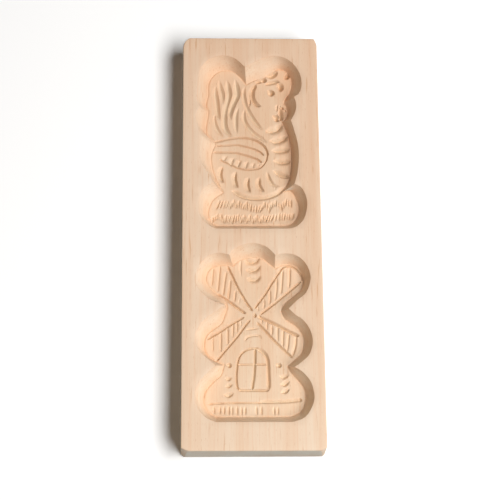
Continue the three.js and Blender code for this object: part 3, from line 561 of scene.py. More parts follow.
@dataclass
class Rooster(Figure):
    """The rooster: it stands on a strip of grass and looks to the right."""

    LOBES: ClassVar[tuple[tuple[Path, Path], ...]] = (
        # Tail
        ((-33.5, 85, -35.3, 91, -35, 99, -34.5, 106, -33, 113.5, -29.5, 118.5, -23.5, 122, -17, 123,
          -10, 120.5, -3.5, 114.5),
         (-28, 86, -29.5, 91, -28.2, 98, -28, 106, -25, 112, -20, 115.8, -14, 116.2, -9, 113.8,
          -2.5, 106)),
        # Comb and head
        ((-3.5, 114.5, 2.5, 118, 9, 121.3, 16.5, 123, 24, 121, 29.5, 116.2, 33.2, 109.5, 34.1, 102,
          32.5, 96, 29, 93),
         (-2.5, 106, 3.5, 109.3, 9.5, 111.2, 14, 114.5, 19.5, 117.5, 24.5, 115.8, 27.6, 111, 28.1, 105,
          26.5, 99.8, 23, 93)),
        # Beak
        ((29, 93, 30, 89, 30.2, 85.6, 29.3, 81.4, 26.5, 76),
         (23, 93, 24.3, 89.5, 25, 85.2, 23.8, 81.2, 21, 79)),
        # Breast
        ((26.5, 76, 28.5, 69, 30.7, 59.7, 31.3, 52, 30.8, 43, 29.4, 35.7, 28, 31),
         (21, 79, 23.5, 73.2, 26, 65.6, 27, 56, 26.7, 46, 25.2, 37, 21, 29)),
        # Right end of the ground
        ((28, 31, 32.5, 28.2, 35.4, 22, 35.9, 15, 33.8, 7, 29.5, 2, 24.5, 0),
         (21, 29, 25.8, 29.6, 29.2, 24.6, 31.2, 17.4, 29.8, 10.6, 26, 6.3, 22, 5)),
        # Ground line
        ((24.5, 0, -24, 0), (22, 5, -23.5, 5)),
        # Left end of the ground
        ((-24, 0, -29.5, 3.7, -33.3, 9, -34.4, 16, -33, 24, -29.5, 29, -24.5, 31.5),
         (-23.5, 5, -27, 8.3, -28.3, 14, -26.3, 20.8, -23, 25, -18.5, 28)),
        # Belly
        ((-24.5, 31.5, -27, 36.2, -30.5, 42, -33.2, 48, -33.6, 56, -33, 65.5),
         (-18.5, 28, -21.7, 34, -24.6, 41.5, -26.2, 49, -26, 55.5, -23.5, 62)),
        # Saddle
        ((-33, 65.5, -34.4, 69, -35.8, 74, -36, 79, -35.2, 82.5, -33.5, 85),
         (-23.5, 62, -25.5, 66, -29, 69, -29.7, 74, -28.8, 79.5, -28, 86)),
    )
    CUTS: ClassVar[tuple[Cuts, ...]] = (
        # The flutes between the tail feathers and beside the neck, each left of its crest
        (Tool.FLUTE,
         (0.95, -19.1, 79, -19.8, 84.5, -20.3, 91, -21.1, 97.2, -22.6, 105),
         (0.9, -17.2, 90.5, -16.7, 96, -17, 100, -18.6, 105, -20.2, 109.4),
         (1.0, -11.6, 68, -13.9, 72.4, -15.1, 77, -15, 83, -13.8, 89, -12.4, 95, -12, 100, -13.3, 106,
          -15.6, 109.6),
         (1.1, -12.4, 79.5, -11.4, 84.6, -9.4, 90.5, -6.7, 96.5, -6.2, 100, -7.2, 105.4, -9.6, 110),
         (0.8, -8.1, 69.4, -8, 75, -7.9, 82, -7.3, 89.4),
         (0.7, -17, 67.4, -19.6, 71.4, -21.6, 75.8, -22.7, 80, -23, 85),
         (0.75, 9, 72.6, 5.6, 78, 3.3, 81.6, 0.4, 87, -1.6, 92.5, -2.8, 98.6, -2.8, 104.6),
         (0.75, 11.4, 63.4, 8.8, 67.3, 5.4, 69.8, 2.4, 72.5, -0.6, 76.4, -2.6, 81, -3.3, 88)),
        (Tool.CRESCENT, (0.6, -0.6, 89, 0.2, 94, 0.2, 99, 1.2, 104)),
        # Cheek, eye, brow, comb, beak and wattle
        (Tool.GOUGE, (1.0, 7.4, 90, 4.4, 91.3, 2.6, 93.7, 1.7, 96.7, 1.6, 100.1, 2.4, 103, 4.4, 106.6)),
        (Tool.PIT, (1.4, 12.6, 98, 14.4, 99.4, 16, 101.3)),
        (Tool.GOUGE, (0.95, 10.2, 105.4, 12.6, 106.7, 15, 107.3, 17.7, 107.9, 20.4, 107.5),
         (1.3, 20.6, 100.4, 20.8, 103.4, 20.2, 105.6, 18.2, 107.6),
         (0.85, 3.6, 106.8, 6.4, 108, 8.8, 109.4),
         (1.35, 10.9, 111.8, 13.9, 112.2, 16.3, 113.5, 19, 115.5)),
        (Tool.PIT, (0.7, 14.2, 116, 15.4, 117.6), (1.3, 9.3, 107.2, 9.9, 111),
         (1.3, 22.8, 111.9, 24.6, 111.4, 25.9, 112.8, 25.3, 114.8)),
        (Tool.PARTING, (0.9, 23.9, 90.6, 23.5, 93, 25.1, 96.4, 27.2, 99.6)),
        (Tool.PIT, (1.5, 16.4, 79, 17.9, 81, 18.4, 84), (1.2, 20.4, 79.2, 20.9, 83)),
        (Tool.GOUGE, (0.85, 21.6, 79.4, 20.9, 82, 20.3, 85.4, 20.2, 89)),
        (Tool.PIT, (0.75, 20.8, 87.6, 22.4, 88.9), (0.5, 23.3, 85.9, 24.1, 87.1)),
        (Tool.SLAT, (1.1, 18, 86, 18.4, 91.6), (0.8, 19.6, 86, 20.2, 91)),
        # The scallops of the breast, from the neck down to the belly
        (Tool.SCALLOP, (1.0, 9.8, 71.8, 13, 71.3, 16, 71.5, 18.6, 72.8, 20.6, 75, 21.6, 77.2),
         (1.0, 12.4, 64.8, 16, 63.9, 19.4, 64.2, 22.6, 65.8, 25.4, 68.6),
         (0.95, 13.8, 57.7, 17.5, 57, 21, 57.2, 24, 57.8, 26.6, 59.2),
         (0.9, 14.6, 50.6, 18, 49.4, 21.5, 48.9, 24.8, 49.4, 27, 51)),
        (Tool.CRESCENT, (1.1, 14.5, 44, 17.2, 41.2, 20.2, 39.5, 23.3, 38.8, 26.4, 39.2)),
        (Tool.BORDER, (0.9, 19, 32.8, 15.2, 33.8, 13.4, 36.2, 12, 39.4, 11, 43.4)),
        (Tool.SLAT, (0.6, 16.3, 29.4, 16.2, 33)),
        # The crescents on the belly, and the line under it
        (Tool.CRESCENT, (1.0, -17.6, 34.8, -19.1, 37.6, -19.7, 41, -19.2, 44, -18.2, 46.4),
         (1.0, -8.1, 31.4, -9.4, 34, -10.1, 37, -10.1, 40, -9.5, 43),
         (1.0, -0.2, 28, -1.3, 31, -1.9, 34.4, -1.2, 39), (1.0, 9, 28.8, 6.9, 31.4, 5.6, 34.6, 6, 39)),
        (Tool.BORDER,
         (1.15, -13.4, 29.4, -10.4, 27.7, -7.2, 25.4, -3, 24.1, 1, 23.6, 5, 23.5, 9.2, 23.9, 13.4, 25.1,
          17.4, 26.9, 21, 29.7, 23.4, 32.2)),
        # The wing's outline, its two long lines and its row of short feathers
        (Tool.VEINER,
         (1.1, 11.2, 53, 10.9, 57, 9.8, 59.8, 7.8, 62.3, 4.4, 64.7, 0.2, 66.4, -5, 67.2, -11, 66.7,
          -15, 66, -19.2, 64.9, -24.6, 63.6),
         (0.95, -20.8, 51.6, -14.4, 48.3, -10.8, 46.5, -6.4, 44.9, -1.6, 44.3, 3, 44.8, 6.2, 45.9,
          8.6, 48.2, 10.3, 51.2, 11, 55.4),
         (0.9, 9, 54.2, 6.4, 56.8, 2.8, 58.8, -1.3, 60.2, -5.5, 61.3, -9.6, 62, -15, 61.6, -19.2, 61.3,
          -23.6, 61),
         (0.95, 7.6, 49.2, 4.4, 51.7, 1.6, 52.9, -2.2, 54.3, -5.5, 55.2, -8.8, 56.1, -12.4, 56.5,
          -20.6, 56.5, -25.2, 56.5)),
        (Tool.SCOOP, (0.9, -18.6, 49.6, -16.8, 51.2, -15, 53.9),
         (1.1, -12.8, 46, -11.8, 48.6, -10.6, 52.6), (1.1, -8.4, 44.8, -7.2, 47.6, -5.8, 51.2),
         (1.0, -3, 44.4, -2.2, 46.8, -1.2, 50.2), (0.9, 1.6, 44.4, 2.3, 46.6, 3, 49.4),
         (0.6, 5.6, 46, 6.2, 48.4)),
    )
    UPPER_GRASS: ClassVar[tuple[Path, ...]] = (
        (-22.7, 16.5, -20.4, 22.3), (-17.9, 17.6, -16.6, 22.1), (-16, 17.9, -14.7, 22.1),
        (-13.9, 17, -12.5, 21.2), (-11.3, 19, -11, 22.8), (-10, 17.4, -9.1, 21.2),
        (-7.7, 17.9, -7.6, 22.1), (-5.2, 16.6, -4.5, 19.7), (-2.5, 16.1, -2.6, 21.7),
        (-0.4, 15, 0, 19.4), (3.3, 14.4, 3.6, 18.5), (5.8, 14.7, 8.3, 19.7), (9, 18, 9, 21.2),
        (11.9, 14.5, 12.8, 20.5), (13.9, 18.1, 14.4, 21.4), (16.6, 19, 16.4, 22.4),
        (20.3, 15.7, 19.4, 20.2), (22.6, 19, 23.3, 23.4), (26.4, 18, 26.2, 22.9),
    )
    LOWER_GRASS: ClassVar[tuple[Path, ...]] = (
        (-24.8, 7.7, -24.9, 10.8), (-21.9, 9.4, -21.7, 13), (-19.6, 8.3, -19.4, 12.8),
        (-17.9, 7.2, -18.3, 10.2), (-16.9, 7.2, -16, 12.1), (-14.4, 7.4, -13.3, 12),
        (-12.3, 6.4, -11, 11.9), (-8.4, 8, -8.1, 12.8), (-6.9, 6.8, -5.6, 11.2), (-4, 8.4, -4.2, 12.4),
        (-3, 7, -1.7, 11), (-0.4, 8, -0.4, 12.6), (1.2, 6.6, 1.9, 10.6), (3.7, 8, 3.9, 12.3),
        (5.9, 7, 6.2, 10), (7.9, 8, 8.2, 12.3), (9.3, 7.3, 11.1, 12), (12.9, 8, 14.5, 12.3),
        (18.5, 8.6, 18.6, 13.3), (21.5, 9, 22.2, 13.2), (24.9, 9.2, 25.1, 12.8), (26.9, 9.5, 27.9, 13.3),
    )

    def grass(self) -> list[Stroke]:
        """The blades of grass in their two rows."""
        upper = blades(self.UPPER_GRASS, between=0.8)
        return upper + blades(self.LOWER_GRASS, between=0.8)


@dataclass
class Windmill(Figure):
    """The windmill: four sails over a bell-shaped tower with an arched door."""

    LOBES: ClassVar[tuple[tuple[Path, Path], ...]] = (
        # Upper left sail
        ((-18, 75, -25.7, 78, -31.5, 82.2, -35.3, 88, -35.8, 95, -32.8, 102.7, -27.5, 107.6, -21, 109.4,
          -14.5, 108),
         (-16, 75.5, -17.8, 81, -22.5, 84.2, -27.5, 89.3, -29.5, 94.7, -27.9, 100.4, -24, 103.4,
          -18, 104.2, -12, 103.8)),
        # Cap
        ((-14.5, 108, -12, 111.6, -6.5, 114.6, 1.5, 116, 9, 113.6, 14.8, 108),
         (-12, 103.8, -7.6, 107.6, -1, 109.3, 6.7, 108.6, 11, 105.3, 15, 101.8)),
        # Upper right sail
        ((14.8, 108, 21, 109.1, 27.5, 108, 33.2, 103.7, 36.5, 97, 36.9, 91, 33.9, 83, 28.2, 78,
          22.6, 72.5),
         (15, 101.8, 19.6, 104.2, 25.4, 104.6, 30.6, 101.4, 32.9, 94.5, 31.5, 87.7, 26.9, 83.4,
          20.8, 78.3, 18.4, 73.4)),
        # Lower right sail
        ((22.6, 72.5, 26.7, 68.5, 32, 64.6, 36, 58.4, 37.5, 50.6, 35.3, 43, 30.5, 38, 25.7, 34.6),
         (18.4, 73.4, 20.9, 68.1, 27.2, 63.8, 31.5, 58.2, 32.5, 52, 30.8, 45.4, 26.5, 41.4, 22, 37.4)),
        # Right end of the ground
        ((25.7, 34.6, 31, 31.1, 35.9, 24.5, 37.7, 15.5, 35.4, 8, 31, 2.5, 24, 0),
         (22, 37.4, 24.4, 32.5, 29, 27.4, 32.5, 21.5, 32.6, 15, 29.8, 8.4, 23, 4.8)),
        # Ground line
        ((24, 0, -23.5, 0), (23, 4.8, -23, 4.8)),
        # Left end of the ground
        ((-23.5, 0, -30, 3.1, -34.6, 9, -36.2, 16, -34.8, 22.6, -30.5, 29, -23.3, 35.6),
         (-23, 4.8, -28, 7.8, -31, 14, -29.8, 21, -25, 27.2, -20.3, 31.5, -18, 38.1)),
        # Lower left sail
        ((-23.3, 35.6, -28.3, 39.8, -34, 45.5, -36.2, 53.3, -34.3, 60.1, -29.5, 66, -23.8, 70.2,
          -18, 75),
         (-18, 38.1, -25, 41.3, -29.8, 46, -30.8, 52, -28.8, 58, -24, 62, -19.3, 66.1, -16, 75.5)),
    )
    CUTS: ClassVar[tuple[Cuts, ...]] = (
        # The two upper sails: their edges, the round tip and the slats
        (Tool.PARTING, (1.0, 0.6, 73.2, -4, 79.8, -9.2, 89.4, -13.6, 99.2, -15.8, 103.8),
         (1.1, -3.8, 71.7, -7.6, 74.4, -13.8, 79.1, -20.3, 83.5, -23, 84.8)),
        (Tool.SLAT, (0.8, -25.8, 89.4, -25.2, 95, -24.6, 102.4),
         (1.0, -21.8, 85.8, -21.2, 92, -20.2, 103.8), (1.0, -18.3, 83.2, -17.6, 90, -16.2, 100),
         (1.0, -14.8, 80.6, -14.2, 87, -13.6, 94.6), (0.95, -11.1, 79, -10.7, 83, -10.2, 87.4),
         (0.6, -8.6, 77.6, -7.6, 82.2)),
        (Tool.PARTING,
         (1.0, 1.6, 74.6, 3.4, 77.4, 6.1, 81.1, 8.8, 84.9, 11.8, 90, 15.2, 95.2, 17.6, 98.9, 19.9, 102,
          22.6, 103.3, 25.6, 102.8, 28.3, 101.3, 30.3, 99, 31.8, 96.4, 32.4, 93),
         (1.0, 5, 70.8, 9.6, 74.4, 15.6, 79.1, 22.2, 84.6, 28.9, 90.4, 32, 93.2)),
        (Tool.SLAT, (1.0, 24, 88.6, 24.6, 95, 24.7, 102.4), (1.0, 18.7, 84.4, 19.6, 92, 20.2, 101),
         (0.9, 15, 80.4, 16.1, 88, 16.3, 96), (0.9, 11.1, 77.4, 11.8, 81.6, 11.7, 88),
         (0.8, 7.4, 74.2, 8, 78, 7.5, 82), (0.7, 3.9, 72.8, 3.9, 77)),
        # The two lower sails: their edges and the slats
        (Tool.PARTING, (1.0, -29, 54.2, -25.5, 56.5, -21, 59.2, -12.5, 64.9, -5, 69.4),
         (1.0, -23.4, 39.6, -17.2, 47.3, -9.6, 56.4, -5, 62.8, -1.2, 67.6)),
        (Tool.SLAT, (0.75, -24.8, 46.4, -25, 52, -24.8, 56.8), (1.0, -20, 46, -19.8, 53, -19.9, 59.6),
         (1.0, -15.6, 50.8, -15.5, 57, -15.5, 63), (0.9, -12.3, 55.8, -12.1, 61, -12.2, 65),
         (0.85, -9.7, 58.8, -9.5, 63, -9.7, 66.8), (0.65, -7, 62.6, -7, 68)),
        (Tool.PARTING, (1.3, 30, 56.8, 24, 59.7, 18.6, 62.7, 14, 65.3, 9, 67.6, 4, 69.7),
         (1.0, 25.6, 42.6, 22.2, 45.8, 15.2, 52.7, 8.8, 59.8, 2.6, 66.4)),
        (Tool.SLAT, (0.7, 6.1, 64.2, 6.3, 68.4), (0.8, 9.4, 60.2, 9.6, 66.6),
         (1.0, 12.4, 56.8, 12.8, 60, 12.7, 64.4), (1.0, 16.2, 53, 16.3, 58.8, 16.3, 63.6),
         (1.0, 19.5, 49.2, 19.7, 55.4, 20, 61.2), (1.05, 22, 46.4, 22.9, 52.1, 23.5, 58.6),
         (1.15, 25.2, 43.2, 27.4, 50, 28.1, 57.2)),
        # The hub, and the crescents above and below it
        (Tool.PIT, (0.85, 0.6, 69.8, 2.8, 70.1), (0.8, 3.6, 68.5, 6, 69.3)),
        (Tool.SCALLOP, (0.85, -4.5, 108.2, -3.1, 106.2, 0, 105.4, 2.4, 106, 3.9, 107.2, 5.5, 109.2),
         (0.85, -4.1, 101, -1, 100.1, 1.5, 100, 3.9, 101.4, 5.9, 103.8),
         (0.85, -3.7, 95.2, -0.5, 93.7, 2.3, 93.6, 4.1, 94.8, 5.9, 97)),
        (Tool.FLUTE, (0.5, -6.3, 95.6, -6.2, 103.6, -6.1, 109.4)),
        (Tool.CRESCENT, (0.5, -4.6, 60.8, -1.5, 61.1, 4.4, 61.8),
         (0.5, -5, 53, -2.6, 56, 3.4, 56.8, 6, 54.6)),
        # The arched door with its cross, and the marks on both sides of it
        (Tool.PARTING,
         (0.9, -8.2, 21.4, -9.6, 23.6, -10.1, 26.4, -10.2, 31.4, -9.8, 36.3, -9.1, 40.8, -7.3, 44.8,
          -3.4, 47.8, 1.6, 48.7, 4.4, 48.4),
         (1.0, -9.6, 22.4, -8.2, 21.6, 0, 21.4, 8.6, 21.5, 10.2, 22.6)),
        (Tool.GOUGE,
         (0.75, 9.2, 21.5, 10, 24, 9.9, 32, 9.7, 39, 9, 42.8, 7.4, 45.8, 4.6, 47.8, 1.6, 48.6)),
        (Tool.PARTING, (1.1, -0.4, 21.6, 0.2, 26.2, 0.8, 29.6, 1.2, 33.8, 1.5, 38, 1.7, 42.6, 1.7, 49),
         (0.75, -9.8, 38.1, 0.1, 38.1, 10.2, 38.2)),
        (Tool.PIT, (0.95, -14.7, 36, -14.4, 39.4), (0.95, 16.8, 36, 17.1, 39.4)),
        (Tool.CRESCENT, (0.8, -17.9, 29.4, -15.5, 28.4, -13, 29.8),
         (0.85, -17.6, 24.2, -15.2, 24, -12.7, 25.6), (1.0, -18.6, 19, -15.4, 17.8, -12, 20),
         (0.9, 16.4, 31, 19.4, 29.5, 23, 31.7), (0.95, 16.8, 25.3, 20.1, 24.9, 23.4, 27.6),
         (0.9, 17.2, 20, 20.4, 20.3, 23.2, 22.8)),
        # The ground line, which is broader at its right end
        (Tool.PARTING, (0.7, -28.8, 12.8, -21.4, 13.2, -10, 13.6, 2, 13.5, 12, 13.7, 20, 13.9, 26, 14.3)),
        (Tool.BORDER, (0.9, 3, 13.7, 12, 13.9, 20, 14.1, 26, 14.6, 31.4, 15.1)),
        (Tool.PIT, (0.75, 28.4, 14.6, 30.6, 15.6)),
    )
    GRASS: ClassVar[tuple[Path, ...]] = (
        (-24, 7, -24.4, 10.8), (-20.6, 6.8, -20.7, 11), (-17.9, 6.6, -18, 11), (-15, 6.4, -15.1, 11.2),
        (-12.9, 6.2, -13, 11), (-9.8, 6.2, -9.9, 11.2), (-7.1, 6.2, -7.2, 10.8), (-4.7, 6.4, -4.8, 11),
        (2.4, 6.2, 2.2, 11), (5.4, 6.1, 5.3, 11), (13.4, 6, 13.2, 10.6), (15.8, 6.2, 15.6, 10.8),
    )

    def grass(self) -> list[Stroke]:
        """The blades of grass under the ground line."""
        return blades(self.GRASS, size=0.8)


@dataclass(frozen=True)
class Corner:
    """How much the sander took off one corner, along X and Y, at the face and at the back.

    The bow goes from 1, a flat facet, to 2, a full round.
    """

    right: int
    far: int
    face: tuple[float, float]
    back: tuple[float, float]
    bow: float


@dataclass
class MouldBoard:
    """The board itself. Its length, width and thickness come from the frame.

    Where its edge is eased by some inset, a corner's cut shrinks by a share of that inset.
    Points of the face and the back keep off their borders by shares of the face's pitch.
    """

    top_land: float = 13.0
    middle_land: float = 10.0
    rooster_height: float = 123.0
    windmill_height: float = 116.0
    edge_radius: float = 0.8
    edge_rings: int = 4
    edge_step: float = 3.0
    side_rings: int = 3
    corner_steps: int = 8
    corner_shrink: float = 0.6
    corner_least: float = 0.3
    face_pitch: float = 4.0
    off_edge: float = 0.6
    off_hole: float = 0.5
    back_coarser: float = 3.0

    def __post_init__(self) -> None:
        """Reads the real size from the frame."""
        low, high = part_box("mould_board")
        self.width = (high.x - low.x) / MM
        self.length = (high.y - low.y) / MM
        self.thickness = (high.z - low.z) / MM
        self.corners = [
            Corner(1, 1, (2, 5), (1.6, 1.6), 1.2),
            Corner(-1, 1, (5, 7), (2, 2), 1.8),
            Corner(-1, -1, (5, 2.4), (1.8, 1.6), 1.3),
            Corner(1, -1, (4, 2.6), (1.6, 1.6), 1.3),
        ]

    def corner_arc(self, corner: Corner, level: float, inset: float) -> np.ndarray:
        """The rounded corner at one level, as a superellipse quarter.

        Args:
            corner: the corner.
            level: the height above the back.
            inset: how far this ring lies inside the board's sides.

        Returns:
            Its points from the end face to the long side, both seen from the corner.
        """
        share = level / self.thickness
        cut = np.array(corner.back) + (np.array(corner.face) - corner.back) * share
        cut = np.maximum(cut - self.corner_shrink * inset, self.corner_least)
        angle = np.linspace(0, math.pi / 2, self.corner_steps + 1)
        in_x = cut[0] * (1 - np.sin(angle) ** (2 / corner.bow)) + inset
        in_y = cut[1] * (1 - np.cos(angle) ** (2 / corner.bow)) + inset
        x = corner.right * (self.width / 2 - in_x)
        y = corner.far * (self.length / 2 - in_y)
        return np.stack([x, y], axis=1)

    def side_ring(self, level: float, inset: float) -> np.ndarray:
        """The board's outline at one level, counter-clockwise, with even steps on its sides."""
        arcs = []
        for corner in self.corners:
            arc = self.corner_arc(corner, level, inset)
            clockwise = corner.right * corner.far < 0
            arcs.append(arc if clockwise else arc[::-1])
        loop = []
        for arc, following in zip(arcs, arcs[1:] + arcs[:1]):
            loop.append(arc)
            along_side = abs(arc[-1, 0] - following[0, 0]) < self.width / 2
            nominal = self.length if along_side else self.width
            count = round(nominal / self.edge_step)
            share = np.linspace(0, 1, count + 1)[1:-1, None]
            loop.append(arc[-1] + (following[0] - arc[-1]) * share)
        return np.vstack(loop)

    def sides(self) -> tuple[Surface, np.ndarray, np.ndarray]:
        """The sides with their eased edges, and the loops of the back and of the face."""
        radius = self.edge_radius
        angles = np.linspace(0, math.pi / 2, self.edge_rings + 1)
        bends = [(radius * (1 - math.cos(a)), radius * (1 - math.sin(a))) for a in angles]
        heights = np.linspace(radius, self.thickness - radius, self.side_rings + 2)[1:-1]
        rings = bends + [(height, 0.0) for height in heights]
        rings += [(self.thickness - rise, inset) for rise, inset in bends[::-1]]
        outlines = [(self.side_ring(level, inset), level) for level, inset in rings]
        wall = rings_surface([at_level(loop, level) for loop, level in outlines])
        return wall, outlines[0][0], outlines[-1][0]

    def build(self) -> bpy.types.Object:
        """Builds the whole board as one closed mesh."""
        rooster_bottom = self.length / 2 - self.top_land - self.rooster_height
        windmill_bottom = rooster_bottom - self.middle_land - self.windmill_height
        rooster = Rooster(rooster_bottom, self.thickness)
        windmill = Windmill(windmill_bottom, self.thickness)
        surfaces = []
        holes = []
        for figure in (rooster, windmill):
            made, hole = figure.build()
            surfaces.extend(made)
            holes.append(hole)
            LOG.info("%s: floor with %d faces", type(figure).__name__, len(made[0].faces))
        wall, back_loop, face_loop = self.sides()
        surfaces.append(wall)
        surfaces.append(self.face(face_loop, holes))
        surfaces.append(self.back(back_loop))
        return mesh_object("mould_board_carved", surfaces)

    def face(self, edge: np.ndarray, holes: list[np.ndarray]) -> Surface:
        """The flat land round the two figures."""
        dots = hex_grid(edge, self.face_pitch)
        dots = dots[distance_to_loop(dots, edge) > self.off_edge * self.face_pitch]
        for hole in holes:
            dots = dots[~inside(dots, hole)]
            dots = dots[distance_to_loop(dots, hole) > self.off_hole * self.face_pitch]
        flat = triangulated([edge, *holes], dots, [])
        return Surface(at_level(flat.points[:, :2], self.thickness), flat.faces)

    def back(self, edge: np.ndarray) -> Surface:
        """The flat back that the board lies on."""
        dots = hex_grid(edge, self.back_coarser * self.face_pitch)
        dots = dots[distance_to_loop(dots, edge) > self.face_pitch]
        return turned_over(triangulated([edge], dots, []))


def mesh_object(name: str, surfaces: list[Surface]) -> bpy.types.Object:
    """Joins surfaces into one mesh object at the origin, in metres.

    Points of two surfaces that lie within the weld distance of each other become one, which
    closes the seams whatever the rounding of their coordinates.

    Args:
        name: the object's name.
        surfaces: patches in millimetres that share the points of their seams.

    Returns:
        The object, linked to the scene, with smooth faces and sharp creases.
    """
    points = np.vstack([surface.points for surface in surfaces]) * MM
    faces = []
    start = 0
    for surface in surfaces:
        faces.extend((surface.faces + start).tolist())
        start += len(surface.points)
    mesh = bpy.data.meshes.new(name)
    mesh.from_pydata(points.tolist(), [], faces)
    welded = bmesh.new()
    welded.from_mesh(mesh)
    bmesh.ops.remove_doubles(welded, verts=welded.verts, dist=WELD)
    LOG.info("%s: %d open edges", name, sum(edge.is_boundary for edge in welded.edges))
    welded.to_mesh(mesh)
    welded.free()
    mesh.validate()
    mesh.polygons.foreach_set("use_smooth", np.ones(len(mesh.polygons), bool))
    mesh.set_sharp_from_angle(angle=math.radians(CREASE_DEGREES))
    made = bpy.data.objects.new(name, mesh)
    bpy.context.scene.collection.objects.link(made)
    return made


def linear(code: str) -> tuple[float, float, float, float]:
    """An sRGB colour such as "#E8CDB0" as linear red, green, blue and alpha."""
    values = [int(code[i:i + 2], 16) / 255 for i in (1, 3, 5)]
    straight = [v / 12.92 if v <= 0.04045 else ((v + 0.055) / 1.055) ** 2.4 for v in values]
    return (*straight, 1.0)


def add_node(tree: bpy.types.NodeTree, kind: str, settings: dict, links: dict) -> bpy.types.Node:
    """Adds one shader node.

    Args:
        tree: the material's node tree.
        kind: the node's type name.
        settings: properties by name, and input values by name or number under "inputs".
        links: output sockets by the name or number of the input that they feed.

    Returns:
        The new node.
    """
    node = tree.nodes.new(kind)
    for name, value in settings.items():
        if name == "inputs":
            for socket, number in value.items():
                node.inputs[socket].default_value = number
        else:
            setattr(node, name, value)
    for socket, source in links.items():
        tree.links.new(source, node.inputs[socket])
    return node


